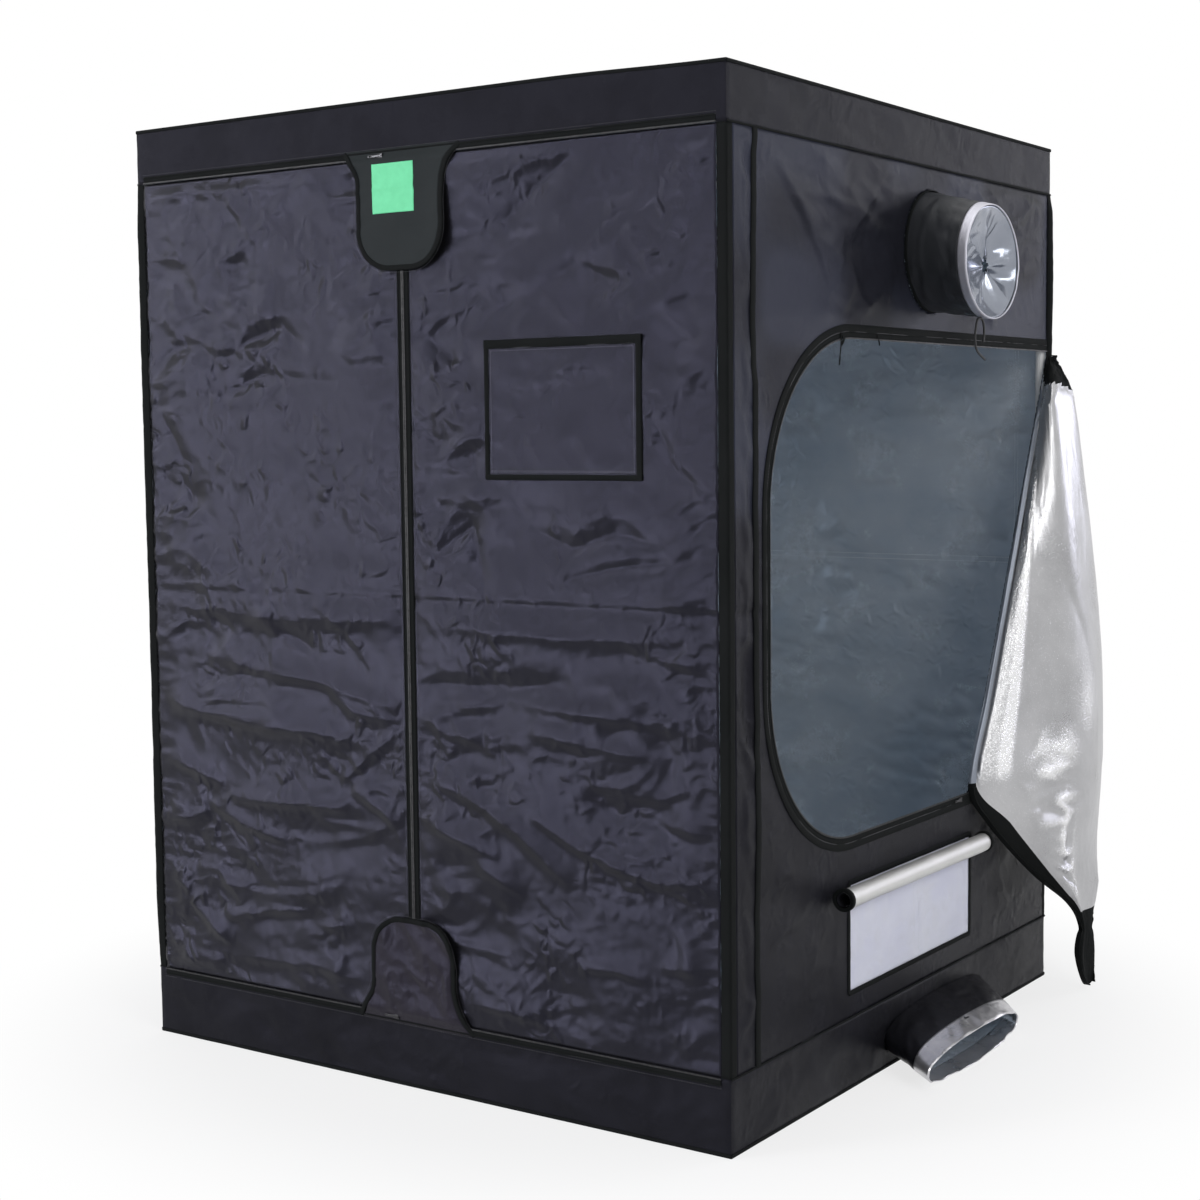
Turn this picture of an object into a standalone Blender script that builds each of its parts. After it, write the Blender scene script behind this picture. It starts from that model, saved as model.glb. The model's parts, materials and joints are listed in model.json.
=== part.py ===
"""Indoor grow tent, modelled as the separate pieces that it comes apart into.

Lengths are metres and +Z is up. The origin is the middle of the tent's floor, on the ground.
The double door of the front faces -Y. The side door, the vent and both duct sleeves are on +X.
"""

import math

import bmesh
import bpy
from mathutils import Matrix, Vector

# The tent as a whole
TENT_WIDTH = 1.5
TENT_DEPTH = 1.5
TENT_HEIGHT = 2.0
CLOTH = 0.0012
GAP = 0.0003
OVERRUN = 0.01

# The steel frame
TUBE_RADIUS = 0.011
TUBE_WALL = 0.001
SOCKET_RADIUS = 0.0135
SOCKET_LENGTH = 0.075
CORNER_BLOCK = 0.030
TUBE_STOP = 0.018
HOOK_THICKNESS = 0.002
HOOK_WIDTH = 0.024
HOOK_STRAP = 0.030
HANGING_BAR_OFFSET = 0.30
ROUND_SIDES = 16
HOOK_START_DEG = -30
HOOK_END_DEG = 210
HOOK_STEPS = 12

# The sewn cover
TOP_BAND_HEIGHT = 0.11
BASE_BAND_HEIGHT = 0.15
CORNER_TAPE_WIDTH = 0.020
TRAY_HEIGHT = 0.030
TRAY_CLEARANCE = 0.0005

# Zips
HINGE_CLEARANCE = 0.0012
ZIP_TAPE_WIDTH = 0.015
ZIP_TAPE_THICKNESS = 0.0010
ZIP_BEAD_WIDTH = 0.003
ZIP_BEAD_THICKNESS = 0.0030
CROSS_ZIP_HEIGHT = 0.016
SLIDER_WIDTH = 0.010
SLIDER_HEIGHT = 0.016
SLIDER_THICKNESS = 0.0028
PULL_WIDTH = 0.005
PULL_THICKNESS = 0.0012
PULL_LENGTH = 0.030
CENTRE_SLIDER_TOP_DROP = 0.045
CROSS_SLIDER_OFFSET = 0.050
SIDE_SLIDER_Y = 0.245

# The covers sewn over the ends of the front zip
TOP_COVER_HALF_WIDTH = 0.145
TOP_COVER_TONGUE_HALF_WIDTH = 0.103
TOP_COVER_LENGTH = 0.232
TOP_COVER_SHOULDER = 0.060
TOP_COVER_CORNER_RADIUS = 0.075
BOTTOM_COVER_HALF_WIDTH = 0.146
BOTTOM_COVER_TONGUE_HALF_WIDTH = 0.100
BOTTOM_COVER_LENGTH = 0.215
BOTTOM_COVER_SHOULDER = 0.090
BOTTOM_COVER_CORNER_RADIUS = 0.070
COVER_SEAM_MARGIN = 0.003
COVER_STANDOFF = 0.0110
COVER_RISE = 0.012
COVER_THICKNESS = 0.0015
COVER_LEVELS = 6
CORNER_STEPS = 8
LABEL_WIDTH = 0.107
LABEL_HEIGHT = 0.098
LABEL_TOP_DROP = 0.030
LABEL_OFFSET = -0.015
LABEL_THICKNESS = 0.0008

# The window in the right-hand leaf
WINDOW_LEFT = 0.202
WINDOW_RIGHT = 0.567
WINDOW_BOTTOM = 1.252
WINDOW_TOP = 1.522
WINDOW_BINDING = 0.014
WINDOW_BINDING_THICKNESS = 0.0020
WINDOW_HOLE_INSET = 0.030
PANE_OVERLAP = 0.012
PANE_THICKNESS = 0.0006

# The side door
DOOR_FRONT_Y = -0.600
DOOR_TOP_Z = 1.522
DOOR_BOTTOM_Z = 0.525
DOOR_TOP_RADIUS = 0.330
DOOR_BOTTOM_RADIUS = 0.330
DOOR_TAPE_WIDTH = 0.028
DOOR_ARC_STEPS = 12
FOLD_BOTTOM_Y = 0.288
FOLD_TOP_DROP = 0.013
FLAP_REACH = 0.136
FLAP_SPAN = 0.700
FLAP_COLUMNS = 24
FLAP_ROWS = 26
FLAP_FRONT_SHARE = 0.62
FLAP_ROLL = 0.030
FLAP_TURN = 0.070
FLAP_FULL_RATIO = 8
FLAP_RIPPLE = 0.010
FLAP_RIPPLE_LIFT_SHARE = 0.60
FLAP_FLOOR_CLEARANCE = 0.012
FLAP_FOLD_SHARES = (0.0, 0.2, 0.4, 0.6, 0.8, 0.985)
FLAP_WAVE_SHARES = ((2.1, 0.8, 0.5), (3.3, -1.1, 0.3))

# The vent
VENT_REAR_Y = 0.300
VENT_FRONT_Y = -0.280
VENT_BOTTOM_Z = 0.205
VENT_TOP_Z = 0.425
VENT_SEAM = 0.012
VENT_MESH_THICKNESS = 0.0006
VENT_ROLL_RADIUS = 0.023
VENT_ROLL_WALL = 0.010
VENT_ROLL_Z = 0.410
VENT_ROLL_FRONT_Y = -0.352
VENT_ROLL_REAR_Y = 0.332

# The upper duct sleeve
UPPER_PORT_Y = 0.090
UPPER_PORT_Z = 1.715
UPPER_PORT_RADIUS = 0.125
UPPER_SLEEVE_LENGTH = 0.150
UPPER_MOUTH_Y = 0.066
UPPER_MOUTH_Z = 1.685
UPPER_MOUTH_HALF_WIDTH = 0.135
UPPER_MOUTH_HALF_HEIGHT = 0.118
UPPER_CUFF = 0.020
UPPER_LIP = 0.0030
UPPER_PINCH_DEPTH = 0.055
UPPER_PINCH_Y = 0.030
UPPER_PINCH_RADIUS = 0.016
UPPER_PLEAT_COUNT = 7
UPPER_PLEAT_SHARE = 0.25
UPPER_CUFF_ROWS_SHARE = 0.6

# The lower duct sleeve, which lies flat on the ground
LOWER_PORT_Y = 0.130
LOWER_PORT_Z = 0.062
LOWER_PORT_HALF_WIDTH = 0.255
LOWER_PORT_HALF_HEIGHT = 0.052
LOWER_SLEEVE_LENGTH = 0.150
LOWER_MOUTH_Y = -0.004
LOWER_MOUTH_Z = 0.045
LOWER_MOUTH_HALF_WIDTH = 0.226
LOWER_MOUTH_HALF_HEIGHT = 0.040
LOWER_MOUTH_TILT = 0.008
LOWER_CUFF = 0.037
LOWER_LINING = 0.045
LOWER_PORT_SEAM = 0.014
LOWER_CUFF_ROWS_SHARE = 0.4
LOWER_LIP_ROWS_SHARE = 0.2
SLEEVE_SIDES = 32
SLEEVE_RINGS = 7
SUPERELLIPSE_SHARE = 0.80

# The drawcord of the upper sleeve, as points of one bent cord
CORD_RADIUS = 0.0025
CORD_STEPS = 3
CORD_ROUTE = (
    (0.887, 0.053, 1.520),
    (0.888, 0.054, 1.534),
    (0.888, 0.054, 1.549),
    (0.888, 0.048, 1.563),
    (0.888, 0.034, 1.5689),
    (0.888, 0.020, 1.563),
    (0.888, 0.014, 1.549),
    (0.888, 0.010, 1.534),
    (0.888, 0.010, 1.519),
    (0.888, 0.016, 1.505),
    (0.888, 0.029, 1.496),
    (0.888, 0.044, 1.490),
    (0.888, 0.059, 1.484),
)

# Places worked out from the sizes above
HALF_WIDTH = TENT_WIDTH / 2
HALF_DEPTH = TENT_DEPTH / 2
FITTING_INSET = CLOTH + GAP + CORNER_BLOCK / 2
POLE_X = HALF_WIDTH - FITTING_INSET
POLE_Y = HALF_DEPTH - FITTING_INSET
BASE_RAIL_Z = FITTING_INSET
TOP_RAIL_Z = TENT_HEIGHT - FITTING_INSET
TOP_SEAM_Z = TENT_HEIGHT - TOP_BAND_HEIGHT
WALL_BOTTOM_Z = BASE_BAND_HEIGHT + GAP
WALL_TOP_Z = TOP_SEAM_Z - GAP
WALL_EDGE_X = HALF_WIDTH - CORNER_TAPE_WIDTH - GAP
WALL_EDGE_Y = HALF_DEPTH - CORNER_TAPE_WIDTH - GAP
LEAF_HINGE_X = HALF_WIDTH - CORNER_TAPE_WIDTH - HINGE_CLEARANCE
LEAF_HINGE_Y = -HALF_DEPTH + CLOTH / 2
FRONT_FACE = -HALF_DEPTH - GAP
SIDE_FACE = HALF_WIDTH + GAP
FOLD_TOP = Vector((SIDE_FACE + CLOTH / 2, WALL_EDGE_Y, DOOR_TOP_Z - FOLD_TOP_DROP))
FOLD_BOTTOM = Vector((SIDE_FACE + CLOTH / 2, FOLD_BOTTOM_Y, DOOR_BOTTOM_Z + GAP))

# Colour, roughness and metallic value of each material
FINISHES = {
    "black_oxford_cloth": ((0.030, 0.031, 0.040), 0.55, 0.0),
    "black_binding_tape": ((0.018, 0.020, 0.021), 0.75, 0.0),
    "silver_lining": ((0.62, 0.64, 0.67), 0.32, 0.6),
    "white_steel_tube": ((0.80, 0.80, 0.80), 0.35, 0.0),
    "corner_steel": ((0.75, 0.75, 0.75), 0.40, 0.0),
    "white_mesh": ((0.70, 0.70, 0.80), 0.80, 0.0),
    "clear_window_film": ((0.75, 0.80, 0.82), 0.12, 0.0),
    "green_label": ((0.07, 0.66, 0.21), 0.60, 0.0),
    "black_zip_metal": ((0.035, 0.035, 0.038), 0.35, 0.8),
}

FRONT_PLANE = Matrix.Rotation(math.radians(90), 4, "X")
SIDE_PLANE = Matrix.Rotation(math.radians(90), 4, "Z") @ Matrix.Rotation(math.radians(90), 4, "X")


def clear_scene():
    for old in list(bpy.data.objects):
        bpy.data.objects.remove(old, do_unlink=True)


def new_collection(name):
    collection = bpy.data.collections.new(name)
    bpy.context.scene.collection.children.link(collection)
    return collection


def make_materials():
    made = {}
    for name, (colour, roughness, metallic) in FINISHES.items():
        material = bpy.data.materials.new(name)
        material.use_nodes = True
        shader = material.node_tree.nodes["Principled BSDF"]
        shader.inputs["Base Color"].default_value = (*colour, 1.0)
        shader.inputs["Roughness"].default_value = roughness
        shader.inputs["Metallic"].default_value = metallic
        made[name] = material
    return made


clear_scene()
PARTS = new_collection("indoor_grow_tent")
CUTTERS = new_collection("cutters")
MATERIALS = make_materials()


def add_part(name, mesh, material, origin=(0, 0, 0), parent=None):
    """Put a mesh drawn in tent coordinates into the scene, with its own origin."""
    part = bpy.data.objects.new(name, mesh)
    mesh.transform(Matrix.Translation(-Vector(origin)))
    part.location = origin
    mesh.materials.clear()
    mesh.materials.append(MATERIALS[material])
    PARTS.objects.link(part)
    if parent:
        part.parent = parent
        part.location = Vector(origin) - parent.location
    return part


def add_pivot(name, location):
    pivot = bpy.data.objects.new(name, None)
    pivot.location = location
    PARTS.objects.link(pivot)
    return pivot


def mesh_of(bm):
    mesh = bpy.data.meshes.new("shape")
    bm.to_mesh(mesh)
    bm.free()
    return mesh


def box_mesh(low, high):
    bm = bmesh.new()
    bmesh.ops.create_cube(bm, size=1)
    low = Vector(low)
    high = Vector(high)
    bmesh.ops.scale(bm, vec=high - low, verts=bm.verts)
    bmesh.ops.translate(bm, vec=(high + low) / 2, verts=bm.verts)
    return mesh_of(bm)


def cylinder_mesh(start, end, radius, capped=True):
    """A round bar or an open pipe along an axis of the tent."""
    start = Vector(start)
    run = Vector(end) - start
    turn = Vector((0, 0, 1)).rotation_difference(run).to_matrix().to_4x4()
    bm = bmesh.new()
    bmesh.ops.create_cone(
        bm,
        cap_ends=capped,
        segments=ROUND_SIDES,
        radius1=radius,
        radius2=radius,
        depth=run.length,
        matrix=Matrix.Translation(start + run / 2) @ turn,
    )
    return mesh_of(bm)


def evaluated_mesh(source):
    """The shape of an object after its modifiers; the object itself is removed."""
    depsgraph = bpy.context.evaluated_depsgraph_get()
    mesh = bpy.data.meshes.new_from_object(source.evaluated_get(depsgraph))
    bpy.data.objects.remove(source, do_unlink=True)
    return mesh


def combine(base, joined=(), cut=()):
    """Join and cut closed meshes with Boolean modifiers into one plain mesh."""
    body = bpy.data.objects.new("body", base)
    CUTTERS.objects.link(body)
    tools = []
    for operation, meshes in (("UNION", joined), ("DIFFERENCE", cut)):
        for mesh in meshes:
            tool = bpy.data.objects.new("tool", mesh)
            tool.hide_render = True
            tool.display_type = "WIRE"
            CUTTERS.objects.link(tool)
            step = body.modifiers.new(operation, "BOOLEAN")
            step.operation = operation
            step.object = tool
            step.solver = "EXACT"
            tools.append(tool)
    bpy.context.view_layer.update()
    mesh = evaluated_mesh(body)
    for tool in tools:
        bpy.data.objects.remove(tool, do_unlink=True)
    return mesh


def outline_mesh(points, low, high, turn=Matrix.Identity(4)):
    """A flat outline given thickness from low to high, then turned into its plane."""
    curve = bpy.data.curves.new("outline", "CURVE")
    curve.dimensions = "2D"
    curve.fill_mode = "BOTH"
    curve.extrude = (high - low) / 2
    spline = curve.splines.new("POLY")
    spline.points.add(len(points) - 1)
    for point, (across, up) in zip(spline.points, points):
        point.co = (across, up, 0, 1)
    spline.use_cyclic_u = True
    source = bpy.data.objects.new("outline", curve)
    CUTTERS.objects.link(source)
    bpy.context.view_layer.update()
    mesh = evaluated_mesh(source)
    bm = bmesh.new()
    bm.from_mesh(mesh)
    bmesh.ops.remove_doubles(bm, verts=bm.verts, dist=GAP / 10)
    bmesh.ops.recalc_face_normals(bm, faces=bm.faces)
    bm.to_mesh(mesh)
    bm.free()
    mesh.transform(turn @ Matrix.Translation((0, 0, (high + low) / 2)))
    return mesh


def sheet_mesh(columns, rows, place, closed=False):
    """A cloth surface: place(u, v) gives the point for shares u and v of the sheet."""
    bm = bmesh.new()
    bmesh.ops.create_grid(bm, x_segments=columns, y_segments=rows, size=0.5)
    for vertex in bm.verts:
        vertex.co = place(vertex.co.x + 0.5, vertex.co.y + 0.5)
    if closed:
        bmesh.ops.remove_doubles(bm, verts=bm.verts, dist=GAP / 10)
    return mesh_of(bm)


def thicken(part, thickness, offset):
    shell = part.modifiers.new("thickness", "SOLIDIFY")
    shell.thickness = thickness
    shell.offset = offset
    shell.use_even_offset = True
    return part


def smooth(part):
    part.data.shade_smooth()
    part.data.set_sharp_from_angle(angle=math.radians(40))
    return part


def arc(centre, radius, start, end, steps):
    points = []
    for step in range(steps + 1):
        angle = math.radians(start + (end - start) * step / steps)
        points.append((centre[0] + radius * math.cos(angle), centre[1] + radius * math.sin(angle)))
    return points


def between(start, end, share):
    return start + (end - start) * share


def along_table(table, share):
    """Smooth value at a share from 0 to 1 of evenly spaced entries (Catmull-Rom)."""
    place = min(max(share, 0.0), 1.0) * (len(table) - 1)
    index = min(int(place), len(table) - 2)
    t = place - index
    before = table[max(index - 1, 0)]
    here = table[index]
    after = table[index + 1]
    beyond = table[min(index + 2, len(table) - 1)]
    curve = (after - here) * t + here
    pull = (after - before) / 2 - (after - here)
    push = (beyond - here) / 2 - (after - here)
    return curve + pull * t * (1 - t) ** 2 - push * (1 - t) * t ** 2


# The steel frame
def fitting_mesh():
    """A three-way corner fitting at the origin, with sockets along +X, +Y and +Z."""
    half = CORNER_BLOCK / 2
    sockets = []
    bores = []
    bore_radius = (TUBE_RADIUS + GAP) / math.cos(math.pi / ROUND_SIDES)
    for axis in (Vector((1, 0, 0)), Vector((0, 1, 0)), Vector((0, 0, 1))):
        sockets.append(cylinder_mesh(axis * half / 2, axis * SOCKET_LENGTH, SOCKET_RADIUS))
        bores.append(cylinder_mesh(axis * (TUBE_STOP - GAP), axis * (SOCKET_LENGTH + OVERRUN), bore_radius))
    block = box_mesh((-half, -half, -half), (half, half, half))
    return combine(block, sockets, bores)


def make_corner_fittings():
    mesh = fitting_mesh()
    mesh.materials.append(MATERIALS["corner_steel"])
    places = (
        ("rear_right", 1, 1, 180),
        ("rear_left", -1, 1, 270),
        ("front_left", -1, -1, 0),
        ("front_right", 1, -1, 90),
    )
    for place, side_x, side_y, turn in places:
        base = bpy.data.objects.new("base_corner_" + place, mesh)
        base.location = (side_x * POLE_X, side_y * POLE_Y, BASE_RAIL_Z)
        base.rotation_euler = (0, 0, math.radians(turn))
        PARTS.objects.link(base)
        top = bpy.data.objects.new("top_corner_" + place, mesh)
        top.location = (side_x * POLE_X, side_y * POLE_Y, TOP_RAIL_Z)
        top.rotation_euler = (math.radians(180), 0, math.radians(turn + 90))
        PARTS.objects.link(top)


def make_tube(name, start, end):
    middle = (Vector(start) + Vector(end)) / 2
    mesh = cylinder_mesh(start, end, TUBE_RADIUS, capped=False)
    part = add_part(name, mesh, "white_steel_tube", origin=middle)
    thicken(part, TUBE_WALL, -1)
    return smooth(part)


def make_frame():
    make_corner_fittings()
    end_x = POLE_X - TUBE_STOP
    end_y = POLE_Y - TUBE_STOP
    for level, height in (("base", BASE_RAIL_Z), ("top", TOP_RAIL_Z)):
        make_tube(level + "_rail_front", (-end_x, -POLE_Y, height), (end_x, -POLE_Y, height))
        make_tube(level + "_rail_rear", (-end_x, POLE_Y, height), (end_x, POLE_Y, height))
        make_tube(level + "_rail_left", (-POLE_X, -end_y, height), (-POLE_X, end_y, height))
        make_tube(level + "_rail_right", (POLE_X, -end_y, height), (POLE_X, end_y, height))
    low = BASE_RAIL_Z + TUBE_STOP
    high = TOP_RAIL_Z - TUBE_STOP
    for side, x in (("left", -POLE_X), ("right", POLE_X)):
        for end, y in (("front", -POLE_Y), ("rear", POLE_Y)):
            make_tube("upright_" + end + "_" + side, (x, y, low), (x, y, high))


def hook_mesh(side, y):
    """The saddle that rides on a top side rail, with the strap that enters the bar."""
    inner = (TUBE_RADIUS + GAP) / math.cos(math.radians((HOOK_END_DEG - HOOK_START_DEG) / HOOK_STEPS / 2))
    outer = inner + HOOK_THICKNESS
    rail = (side * POLE_X, TOP_RAIL_Z)
    ring = arc(rail, outer, HOOK_START_DEG, HOOK_END_DEG, HOOK_STEPS)
    ring += reversed(arc(rail, inner, HOOK_START_DEG, HOOK_END_DEG, HOOK_STEPS))
    saddle = outline_mesh(ring, -y - HOOK_WIDTH / 2, -y + HOOK_WIDTH / 2, FRONT_PLANE)
    strap_start = side * (POLE_X - inner - HOOK_THICKNESS / 2)
    strap_end = strap_start - side * HOOK_STRAP
    strap = box_mesh(
        (min(strap_start, strap_end), y - HOOK_WIDTH / 2, TOP_RAIL_Z - HOOK_THICKNESS / 2),
        (max(strap_start, strap_end), y + HOOK_WIDTH / 2, TOP_RAIL_Z + HOOK_THICKNESS / 2),
    )
    return saddle, strap


def make_hanging_bar(name, y):
    reach = POLE_X - TUBE_RADIUS - HOOK_THICKNESS - HOOK_STRAP / 3
    pipe = cylinder_mesh((-reach, y, TOP_RAIL_Z), (reach, y, TOP_RAIL_Z), TUBE_RADIUS, capped=False)
    hollow = thicken(bpy.data.objects.new("pipe", pipe), TUBE_WALL, -1)
    CUTTERS.objects.link(hollow)
    bpy.context.view_layer.update()
    pieces = []
    for side in (-1, 1):
        pieces += hook_mesh(side, y)
    mesh = combine(evaluated_mesh(hollow), pieces)
    return smooth(add_part(name, mesh, "white_steel_tube", origin=(0, y, TOP_RAIL_Z)))


# The sewn cover
def make_ring(name, low, high, cutters=()):
    """A band of cloth sewn round all four sides, open at its top and bottom."""
    outer = box_mesh((-HALF_WIDTH, -HALF_DEPTH, low), (HALF_WIDTH, HALF_DEPTH, high))
    inside = box_mesh(
        (-HALF_WIDTH + CLOTH, -HALF_DEPTH + CLOTH, low - OVERRUN),
        (HALF_WIDTH - CLOTH, HALF_DEPTH - CLOTH, high + OVERRUN),
    )
    return add_part(name, combine(outer, cut=(inside, *cutters)), "black_oxford_cloth")


def make_floor_tray():
    """The removable splash tray that lies inside the base rails, with raised sides."""
    low = CLOTH + GAP
    half_x = POLE_X - CORNER_BLOCK / 2 - TRAY_CLEARANCE
    half_y = POLE_Y - CORNER_BLOCK / 2 - TRAY_CLEARANCE
    outer = box_mesh((-half_x, -half_y, low), (half_x, half_y, low + TRAY_HEIGHT))
    hollow = box_mesh(
        (-half_x + CLOTH, -half_y + CLOTH, low + CLOTH),
        (half_x - CLOTH, half_y - CLOTH, low + TRAY_HEIGHT + OVERRUN),
    )
    add_part("floor_tray", combine(outer, cut=(hollow,)), "silver_lining")


def door_outline(grow):
    """The D of the side door in Y and Z, grown outwards except at its straight rear end."""
    front = DOOR_FRONT_Y - grow
    top = DOOR_TOP_Z + grow
    bottom = DOOR_BOTTOM_Z - grow
    top_radius = DOOR_TOP_RADIUS + grow
    bottom_radius = DOOR_BOTTOM_RADIUS + grow
    points = [(WALL_EDGE_Y, top)]
    points += arc((front + top_radius, top - top_radius), top_radius, 90, 180, DOOR_ARC_STEPS)
    points += arc((front + bottom_radius, bottom + bottom_radius), bottom_radius, 180, 270, DOOR_ARC_STEPS)
    points.append((WALL_EDGE_Y, bottom))
    return points


def make_right_wall():
    wall = box_mesh(
        (HALF_WIDTH - CLOTH, -WALL_EDGE_Y, WALL_BOTTOM_Z),
        (HALF_WIDTH, WALL_EDGE_Y, WALL_TOP_Z),
    )
    outline = door_outline(0)
    outline[0] = (WALL_EDGE_Y + OVERRUN, DOOR_TOP_Z)
    outline[-1] = (WALL_EDGE_Y + OVERRUN, DOOR_BOTTOM_Z)
    cut_low = HALF_WIDTH - CLOTH - OVERRUN
    cut_high = HALF_WIDTH + OVERRUN
    doorway = outline_mesh(outline, cut_low, cut_high, SIDE_PLANE)
    vent = box_mesh(
        (cut_low, VENT_FRONT_Y, VENT_BOTTOM_Z),
        (cut_high, VENT_REAR_Y, VENT_TOP_Z),
    )
    port_outline = arc((UPPER_PORT_Y, UPPER_PORT_Z), UPPER_PORT_RADIUS, 0, 360, SLEEVE_SIDES)[:-1]
    port = outline_mesh(port_outline, cut_low, cut_high, SIDE_PLANE)
    add_part("right_wall", combine(wall, cut=(doorway, vent, port)), "black_oxford_cloth")


def make_corner_tapes():
    """The doubled cloth strip sewn down each upright corner, an L seen from above."""
    for side, side_x in (("left", -1), ("right", 1)):
        for end, side_y in (("front", -1), ("rear", 1)):
            x_out = HALF_WIDTH * side_x
            y_out = HALF_DEPTH * side_y
            x_in = x_out - CLOTH * side_x
            y_in = y_out - CLOTH * side_y
            x_end = x_out - CORNER_TAPE_WIDTH * side_x
            y_end = y_out - CORNER_TAPE_WIDTH * side_y
            outline = [(x_out, y_out), (x_end, y_out), (x_end, y_in)]
            outline += [(x_in, y_in), (x_in, y_end), (x_out, y_end)]
            mesh = outline_mesh(outline, WALL_BOTTOM_Z, WALL_TOP_Z)
            add_part("corner_tape_" + end + "_" + side, mesh, "black_binding_tape")


def make_cover():
    lower_port = outline_mesh(
        [lower_ring(step / SLEEVE_SIDES, 0.0, LOWER_PORT_SEAM)[1:] for step in range(SLEEVE_SIDES)],
        HALF_WIDTH - CLOTH - OVERRUN,
        HALF_WIDTH + OVERRUN,
        SIDE_PLANE,
    )
    floor = box_mesh((-HALF_WIDTH, -HALF_DEPTH, 0), (HALF_WIDTH, HALF_DEPTH, CLOTH))
    add_part("floor_panel", floor, "black_oxford_cloth")
    make_ring("base_band", CLOTH + GAP, BASE_BAND_HEIGHT, (lower_port,))
    make_ring("top_band", TOP_SEAM_Z, TENT_HEIGHT - CLOTH - GAP)
    roof = box_mesh(
        (-HALF_WIDTH, -HALF_DEPTH, TENT_HEIGHT - CLOTH),
        (HALF_WIDTH, HALF_DEPTH, TENT_HEIGHT),
    )
    add_part("roof_panel", roof, "black_oxford_cloth")
    rear = box_mesh(
        (-WALL_EDGE_X, HALF_DEPTH - CLOTH, WALL_BOTTOM_Z),
        (WALL_EDGE_X, HALF_DEPTH, WALL_TOP_Z),
    )
    add_part("rear_wall", rear, "black_oxford_cloth")
    left = box_mesh(
        (-HALF_WIDTH, -WALL_EDGE_Y, WALL_BOTTOM_Z),
        (-HALF_WIDTH + CLOTH, WALL_EDGE_Y, WALL_TOP_Z),
    )
    add_part("left_wall", left, "black_oxford_cloth")
    make_right_wall()
    make_corner_tapes()
    make_floor_tray()


# The double door of the front
def window_hole():
    inset = WINDOW_HOLE_INSET
    return (WINDOW_LEFT + inset, WINDOW_RIGHT - inset, WINDOW_BOTTOM + inset, WINDOW_TOP - inset)


def make_leaf(side_name, side, cutters=()):
    pivot = add_pivot(side_name + "_leaf_hinge", (side * LEAF_HINGE_X, LEAF_HINGE_Y, TENT_HEIGHT / 2))
    ends = sorted((side * GAP, side * LEAF_HINGE_X))
    mesh = box_mesh((ends[0], -HALF_DEPTH, WALL_BOTTOM_Z), (ends[1], -HALF_DEPTH + CLOTH, WALL_TOP_Z))
    if cutters:
        mesh = combine(mesh, cut=cutters)
    add_part("front_leaf_" + side_name, mesh, "black_oxford_cloth", pivot.location, pivot)
    outline = [
        (side * GAP, FRONT_FACE),
        (side * GAP, FRONT_FACE - ZIP_BEAD_THICKNESS),
        (side * (GAP + ZIP_BEAD_WIDTH), FRONT_FACE - ZIP_BEAD_THICKNESS),
        (side * (GAP + ZIP_BEAD_WIDTH), FRONT_FACE - ZIP_TAPE_THICKNESS),
        (side * (GAP + ZIP_TAPE_WIDTH), FRONT_FACE - ZIP_TAPE_THICKNESS),
        (side * (GAP + ZIP_TAPE_WIDTH), FRONT_FACE),
    ]
    tape = outline_mesh(outline, WALL_BOTTOM_Z, WALL_TOP_Z)
    add_part("front_zip_tape_" + side_name, tape, "black_binding_tape", pivot.location, pivot)
    return pivot


def cross_zip_mesh(low, high, bead_low):
    """A flat zip across the front: a tape with a raised row of teeth at its leaf side."""
    bead_high = bead_low + ZIP_BEAD_WIDTH
    tape = box_mesh(
        (-LEAF_HINGE_X, FRONT_FACE - ZIP_TAPE_THICKNESS, low),
        (LEAF_HINGE_X, FRONT_FACE, high),
    )
    bead = box_mesh(
        (-LEAF_HINGE_X, FRONT_FACE - ZIP_BEAD_THICKNESS, bead_low),
        (LEAF_HINGE_X, FRONT_FACE - ZIP_TAPE_THICKNESS / 2, bead_high),
    )
    return combine(tape, (bead,))


def slider_mesh():
    """A zip slider in the front plane, its back at y 0, with its pull hanging down."""
    body = box_mesh(
        (-SLIDER_WIDTH / 2, -SLIDER_THICKNESS, -SLIDER_HEIGHT / 2),
        (SLIDER_WIDTH / 2, 0, SLIDER_HEIGHT / 2),
    )
    pull = box_mesh(
        (-PULL_WIDTH / 2, -SLIDER_THICKNESS - PULL_THICKNESS / 2, -PULL_LENGTH),
        (PULL_WIDTH / 2, -SLIDER_THICKNESS + PULL_THICKNESS / 2, SLIDER_HEIGHT / 4),
    )
    return combine(body, (pull,))


def make_slider(name, location, turn, parent=None):
    mesh = slider_mesh()
    mesh.transform(turn)
    mesh.transform(Matrix.Translation(location))
    return add_part(name, mesh, "black_zip_metal", location, parent)


def cover_outline(half_width, tongue, length, shoulder, radius):
    """A zip cover, wide at its sewn edge at height 0, with a rounded tongue below."""
    shoulder_shares = ((0.0, 0.0), (0.45, 0.30), (0.80, 0.62), (1.0, 1.0))
    right = [(between(half_width, tongue, inward), -shoulder * down) for inward, down in shoulder_shares]
    right += arc((tongue - radius, -length + radius), radius, 0, -90, CORNER_STEPS)
    left = [(-across, up) for across, up in reversed(right)]
    return right + left


def bend_cover(mesh, seam_z, length, side):
    """Let the cover rise off the wall beside its sewn edge and clear the zips from there on."""
    bm = bmesh.new()
    bm.from_mesh(mesh)
    for level in range(COVER_LEVELS):
        cut_z = seam_z - side * between(COVER_RISE, length, level / COVER_LEVELS)
        everything = bm.verts[:] + bm.edges[:] + bm.faces[:]
        bmesh.ops.bisect_plane(bm, geom=everything, plane_co=(0, 0, cut_z), plane_no=(0, 0, 1))
    for vertex in bm.verts:
        rise = side * (seam_z - vertex.co.z) / COVER_RISE
        vertex.co.y -= COVER_STANDOFF * min(max(rise, 0.0), 1.0)
    bm.to_mesh(mesh)
    bm.free()


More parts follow.
